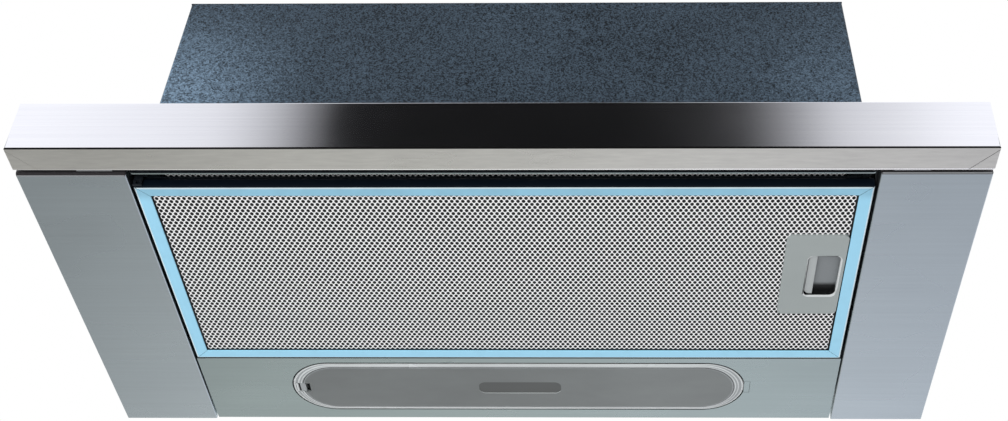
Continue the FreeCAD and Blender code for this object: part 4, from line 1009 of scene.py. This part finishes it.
def lamp_cover():
    """The lamp cover: a long round-ended pane in ringed edges, with a slot and a hinge bead."""
    low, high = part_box("lamp_lens")
    right = high.x - COVER_TONGUE
    x, y = (low.x + right) / 2, (low.y + high.y) / 2
    half, radius = (right - low.x) / 2, (high.y - low.y) / 2
    only()
    bpy.ops.mesh.primitive_circle_add(vertices=60, radius=radius, fill_type="NGON",
                                      location=(x, y, COVER_DROP))
    piece = added("frosted_cover")
    paint(piece, "lens", "lens_pale", "lens_grey", "lens_line")
    with Editing(piece) as edit:
        for way in (-1, 1):
            edit.move(lambda v: (v.co.x - x) * way > CLOSE, x=way * (half - radius))
        edit.all()
        edit.lift(COVER_TOP - COVER_DROP)
        edit.all()
        bpy.ops.mesh.normals_make_consistent(inside=False)
        edit.pick("FACE", lambda face: abs(face.normal.z) < 0.1)
        edit.colour(3)
        edit.pick("FACE", lambda face: face.normal.z > 0.9)
        bpy.ops.mesh.inset(thickness=COVER_WALL, depth=-COVER_HOLLOW)
        edit.pick("FACE", lambda face: face.normal.z < -0.9)
        across = half
        share = COVER_DROP / sum(ring[0] for ring in RINGS)
        for side, end, slot in RINGS:
            edit.colour(slot)
            bpy.ops.mesh.inset(thickness=side * MM, depth=side * share)
            bpy.ops.transform.resize(value=((across - end * MM) / (across - side * MM), 1, 1),
                                     center_override=(x, y, 0))
            across -= end * MM
        edit.colour(0)

    def centred(name, start, end, half, low, high):
        """A block that lies across the cover's middle line."""
        return block(name, (start, y - half, low), (end, y + half, high))

    catch_low, catch_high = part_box("lens_catch")
    slot = centred("slot", catch_low.x + SLOT_LEFT, catch_high.x + SLOT_RIGHT, SLOT_HALF, -MM,
                   SLOT_HIGH)
    plain = centred("plain", -PAD_LONG, PAD_LONG, PAD_HALF, -MM, PAD_DEEP)
    with Editing(plain) as edit:
        edit.round(lambda edge: abs(middle(edge).z + PAD_DEEP / 2) < CLOSE, PAD_ROUND, 8)
    carve(piece, slot, plain)
    piece.data.materials.append(finish_of("lens_pad"))

    def in_pad(face):
        return abs(middle(face).x) < PAD_REACH_X and abs(middle(face).y - y) < PAD_REACH_Y

    coat(piece, 4, lambda face: in_pad(face) and abs(middle(face).z - PAD_DEEP) < 5 * NEAR)
    coat(piece, 1, lambda face: in_pad(face) and abs(face.normal.z) < 0.5)
    smooth(piece, 8)
    out = right + BEAD_OUT
    tongue = centred("tongue", right - TONGUE_IN, out, TONGUE_HALF, TONGUE_LOW, BEAD_UP)
    bar = rod("bead", BEAD_RADIUS, (out, y - BEAD_HALF, BEAD_UP), (out, y + BEAD_HALF, BEAD_UP))
    cover = centred("notch_cover", right + NOTCH_NEAR, right + NOTCH_FAR, NOTCH_HALF, NOTCH_LOW,
                    NOTCH_HIGH)
    paint(tongue, "lens_grey")
    paint(bar, "lens_grey")
    paint(cover, "lamp_sheet")
    stands_for(joined("frosted_cover", tongue, bar, cover, piece), "lamp_lens")


class HOOD_OT_lamps(bpy.types.Operator):
    """Mould the lamp cover and set the lamps in their reflector"""

    bl_idname = "hood.lamps"
    bl_label = "Lamps and cover"

    def execute(self, context):
        lamp_cover()
        catch = softened("lens_catch", "cover_catch", "lens_grey lens_pale seam", 0.2 * MM)
        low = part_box("lens_catch")[0]
        left = low.x + CATCH_LEFT

        def below(face):
            return face.normal.z < -0.9 and middle(face).z < CATCH_FACE

        rule(catch, 1, below, (left + LINE_AT, 0, low.z), (1, 0, 0), LINE_WIDE)
        rule(catch, 2, lambda face: below(face) and middle(face).x > left + GAP_FROM,
             (left + GAP_AT, 0, low.z), (1, 0, 0), GAP_WIDE, GAP_DEEP)
        smooth(catch)
        dressed("reflector", "lamp_box")
        for side in ("left", "right"):
            softened("lamp_bulb_" + side, "opal_lamp_" + side, "lamp", 4 * MM, 4)
            softened("lamp_holder_" + side, "holder_" + side, "holder", 0.6 * MM)
        return {"FINISHED"}


class HOOD_OT_blower(bpy.types.Operator):
    """Finish the blower, its electrical pieces and the controls"""

    bl_idname = "hood.blower"
    bl_label = "Blower and controls"

    def execute(self, context):
        dressed("zinc", "scroll_left", "scroll_right")
        dressed("fan", "impeller")
        dressed("steel", "motor_shaft")
        dressed("black", "terminal_box")
        for node, name, finish, rounding in (
            ("motor_case", "motor_can", "motor", 0.8),
            ("capacitor", "capacitor_can", "aluminium", 1.2),
            ("cable_gland", "gland_nut", "black", 0.5),
            ("control_box", "control_cover", "black", 0.4),
            ("speed_knob", "speed_slider", "knob", 0.5),
            ("light_knob", "light_slider", "knob", 0.5),
        ):
            softened(node, name, finish, rounding * MM)
        return {"FINISHED"}


class HOOD_OT_outlet(bpy.types.Operator):
    """Mould the duct outlet with its two flaps"""

    bl_idname = "hood.outlet"
    bl_label = "Duct outlet"

    def execute(self, context):
        for node, name, rounding in (("outlet_collar", "duct_collar", 0.4),
                                     ("flap_rear", "rear_damper", 0.3),
                                     ("flap_front", "front_damper", 0.3)):
            softened(node, name, "black", rounding * MM)
        dressed("steel", "flap_pin")
        return {"FINISHED"}


# Stage

def camera_turn(pitch, yaw, roll):
    """The camera's axes for a view that looks up from below the hood."""
    ahead = Vector((math.sin(yaw) * math.cos(pitch), math.cos(yaw) * math.cos(pitch),
                    math.sin(pitch)))
    level = Vector((math.cos(yaw), -math.sin(yaw), 0))
    above = level.cross(ahead)
    right = math.cos(roll) * level + math.sin(roll) * above
    up = -math.sin(roll) * level + math.cos(roll) * above
    return Matrix((right, up, -ahead)).transposed()


class HOOD_OT_stage(bpy.types.Operator):
    """Lay the floor, hang the lamps and point the camera"""

    bl_idname = "hood.stage"
    bl_label = "Stage"

    def execute(self, context):
        self.floor()
        self.world(context.scene)
        self.lamps()
        self.camera(context.scene)
        context.scene.view_settings.view_transform = "Standard"
        return {"FINISHED"}

    def floor(self):
        only()
        bpy.ops.mesh.primitive_plane_add(size=FLOOR_WIDE, location=(0, 0, -sizes().floor_down))
        floor = added("studio_floor")
        finish = Finish("studio floor", colours().floor, 0.8)
        cloud = finish.noise(finish.place, 2, 2)
        finish.shade(finish.spread(cloud, 0.4, 0.6), 0.99, 1.01)
        floor.data.materials.append(finish.material)
        floor.visible_glossy = False

    def world(self, scene):
        """White for the camera, and for metal a bright room with a dark wall in front."""
        world = bpy.data.worlds.new("Studio")
        scene.world = world
        world.use_nodes = True
        tree = Nodes(world.node_tree)
        calc, ranged, mixed, levels = tree.calc, tree.ranged, tree.mixed, tree.levels
        place = tree.add("TexCoord").outputs["Generated"]
        x, y, z = tree.add("SeparateXYZ", Vector=place).outputs

        def grey(colour):
            return tree.add("RGBToBW", Color=colour).outputs[0]

        # Level with the hood in front, from left to right
        ahead = calc("MAXIMUM", calc("MULTIPLY", y, -1), 0.05)
        wall = levels(calc("DIVIDE", x, ahead), -0.6, 0.4, (
            (0, 1), (0.15, 0.9), (0.22, 0.81), (0.248, 0.685), (0.28, 0.48), (0.311, 0.2),
            (0.335, 0.02), (0.36, 0.008), (0.61, 0.008), (0.66, 0.012), (0.70, 0.018),
            (0.728, 0.045), (0.757, 0.18), (0.785, 0.385), (0.814, 0.62), (0.846, 0.715),
            (0.875, 0.77), (0.906, 0.9), (0.941, 0.97), (1, 1)), 1.06)
        front = mixed(ranged(calc("DIVIDE", z, ahead), 0.35, 0.42), (0.01, 0.01, 0.011, 1), wall)
        # Below it, from straight down to level, and from left to right
        depth = levels(z, -0.72, -0.4, (
            (0, 0.5), (0.2, 0.5), (0.32, 0.56), (0.4, 0.66), (0.53, 0.87), (0.65, 0.95), (1, 1)))
        side = levels(x, -0.45, 0.3, (
            (0, 0.41), (0.12, 0.5), (0.2, 0.7), (0.3, 0.87), (0.45, 0.88), (0.6, 1), (0.7, 1.09),
            (0.83, 0.96), (0.92, 0.84), (1, 0.82)))
        floor = calc("MULTIPLY", grey(depth), grey(side))
        bluer = calc("MULTIPLY", floor, ranged(x, -0.1, 0.25, 1.0, 1.1))
        tint = tree.add("CombineColor", Red=floor, Green=floor, Blue=bluer).outputs[0]
        back = mixed(ranged(z, -0.2, 0.15), tint, (0.95, 0.96, 0.97, 1))
        room = mixed(ranged(y, -0.12, 0.12), front, back)
        rays = tree.add("LightPath").outputs
        soft = mixed(ranged(z, -0.3, 0.3), (1, 1, 1, 1), (0.55, 0.55, 0.56, 1))
        light = mixed(rays["Is Glossy Ray"], soft, room)
        plain = calc("MAXIMUM", rays["Is Camera Ray"], rays["Is Transmission Ray"])
        sky = tree.nodes["Background"]
        tree.feed(sky.inputs["Color"], mixed(plain, light, (1, 1, 1, 1)))
        tree.feed(sky.inputs["Strength"], 1)

    def lamps(self):
        """Three soft lamps: low in front, high on the left and high behind."""
        for name, where, width, watts in (
            ("lamp_low", (-0.6, -1.5, -0.9), 1.6, 22),
            ("lamp_high", (-1.4, -1.2, 1.5), 1.2, 20),
            ("lamp_back", (1.2, 1.4, 1.4), 1.2, 16),
        ):
            only()
            bpy.ops.object.light_add(type="AREA", location=where)
            lamp = bpy.context.object
            lamp.name = name
            lamp.data.shape = "DISK"
            lamp.data.size = width
            lamp.data.energy = watts
            aim = Vector((0, 0, 0.05)) - Vector(where)
            lamp.rotation_euler = aim.to_track_quat("-Z", "Y").to_euler()
            lamp.visible_camera = False
            lamp.visible_glossy = False

    def camera(self, scene):
        only()
        bpy.ops.object.camera_add(location=CAMERA_PLACE)
        camera = bpy.context.object
        camera.name = "photo_camera"
        camera.rotation_euler = camera_turn(*map(math.radians, CAMERA_TURN)).to_euler()
        camera.data.sensor_width = 36
        camera.data.lens = CAMERA_LENS
        camera.data.shift_x = CAMERA_SHIFT
        scene.camera = camera


class HOOD_PT_panel(bpy.types.Panel):
    """Lists the hood's groups of pieces in the sidebar"""

    bl_label = "Cooker hood"
    bl_idname = "HOOD_PT_panel"
    bl_space_type = "VIEW_3D"
    bl_region_type = "UI"
    bl_category = "Hood"

    def draw(self, context):
        for operator in OPERATORS:
            self.layout.operator(operator.bl_idname)
        for group in (context.scene.hood_sizes, context.scene.hood_colours):
            column = self.layout.column(align=True)
            for name in group.__annotations__:
                column.prop(group, name)


OPERATORS = (HOOD_OT_front, HOOD_OT_sheets, HOOD_OT_box, HOOD_OT_filters, HOOD_OT_latch,
             HOOD_OT_lamps, HOOD_OT_blower, HOOD_OT_outlet, HOOD_OT_stage)
CLASSES = (HoodSizes, HoodColours, *OPERATORS, HOOD_PT_panel)


def register():
    for each in CLASSES:
        bpy.utils.register_class(each)
    bpy.types.Scene.hood_sizes = PointerProperty(type=HoodSizes)
    bpy.types.Scene.hood_colours = PointerProperty(type=HoodColours)


def unregister():
    del bpy.types.Scene.hood_colours
    del bpy.types.Scene.hood_sizes
    for each in reversed(CLASSES):
        bpy.utils.unregister_class(each)


def main():
    register()
    bpy.ops.hood.front()
    bpy.ops.hood.sheets()
    bpy.ops.hood.box()
    bpy.ops.hood.filters()
    bpy.ops.hood.latch()
    bpy.ops.hood.lamps()
    bpy.ops.hood.blower()
    bpy.ops.hood.outlet()
    bpy.ops.hood.stage()


if __name__ == "__main__":
    main()
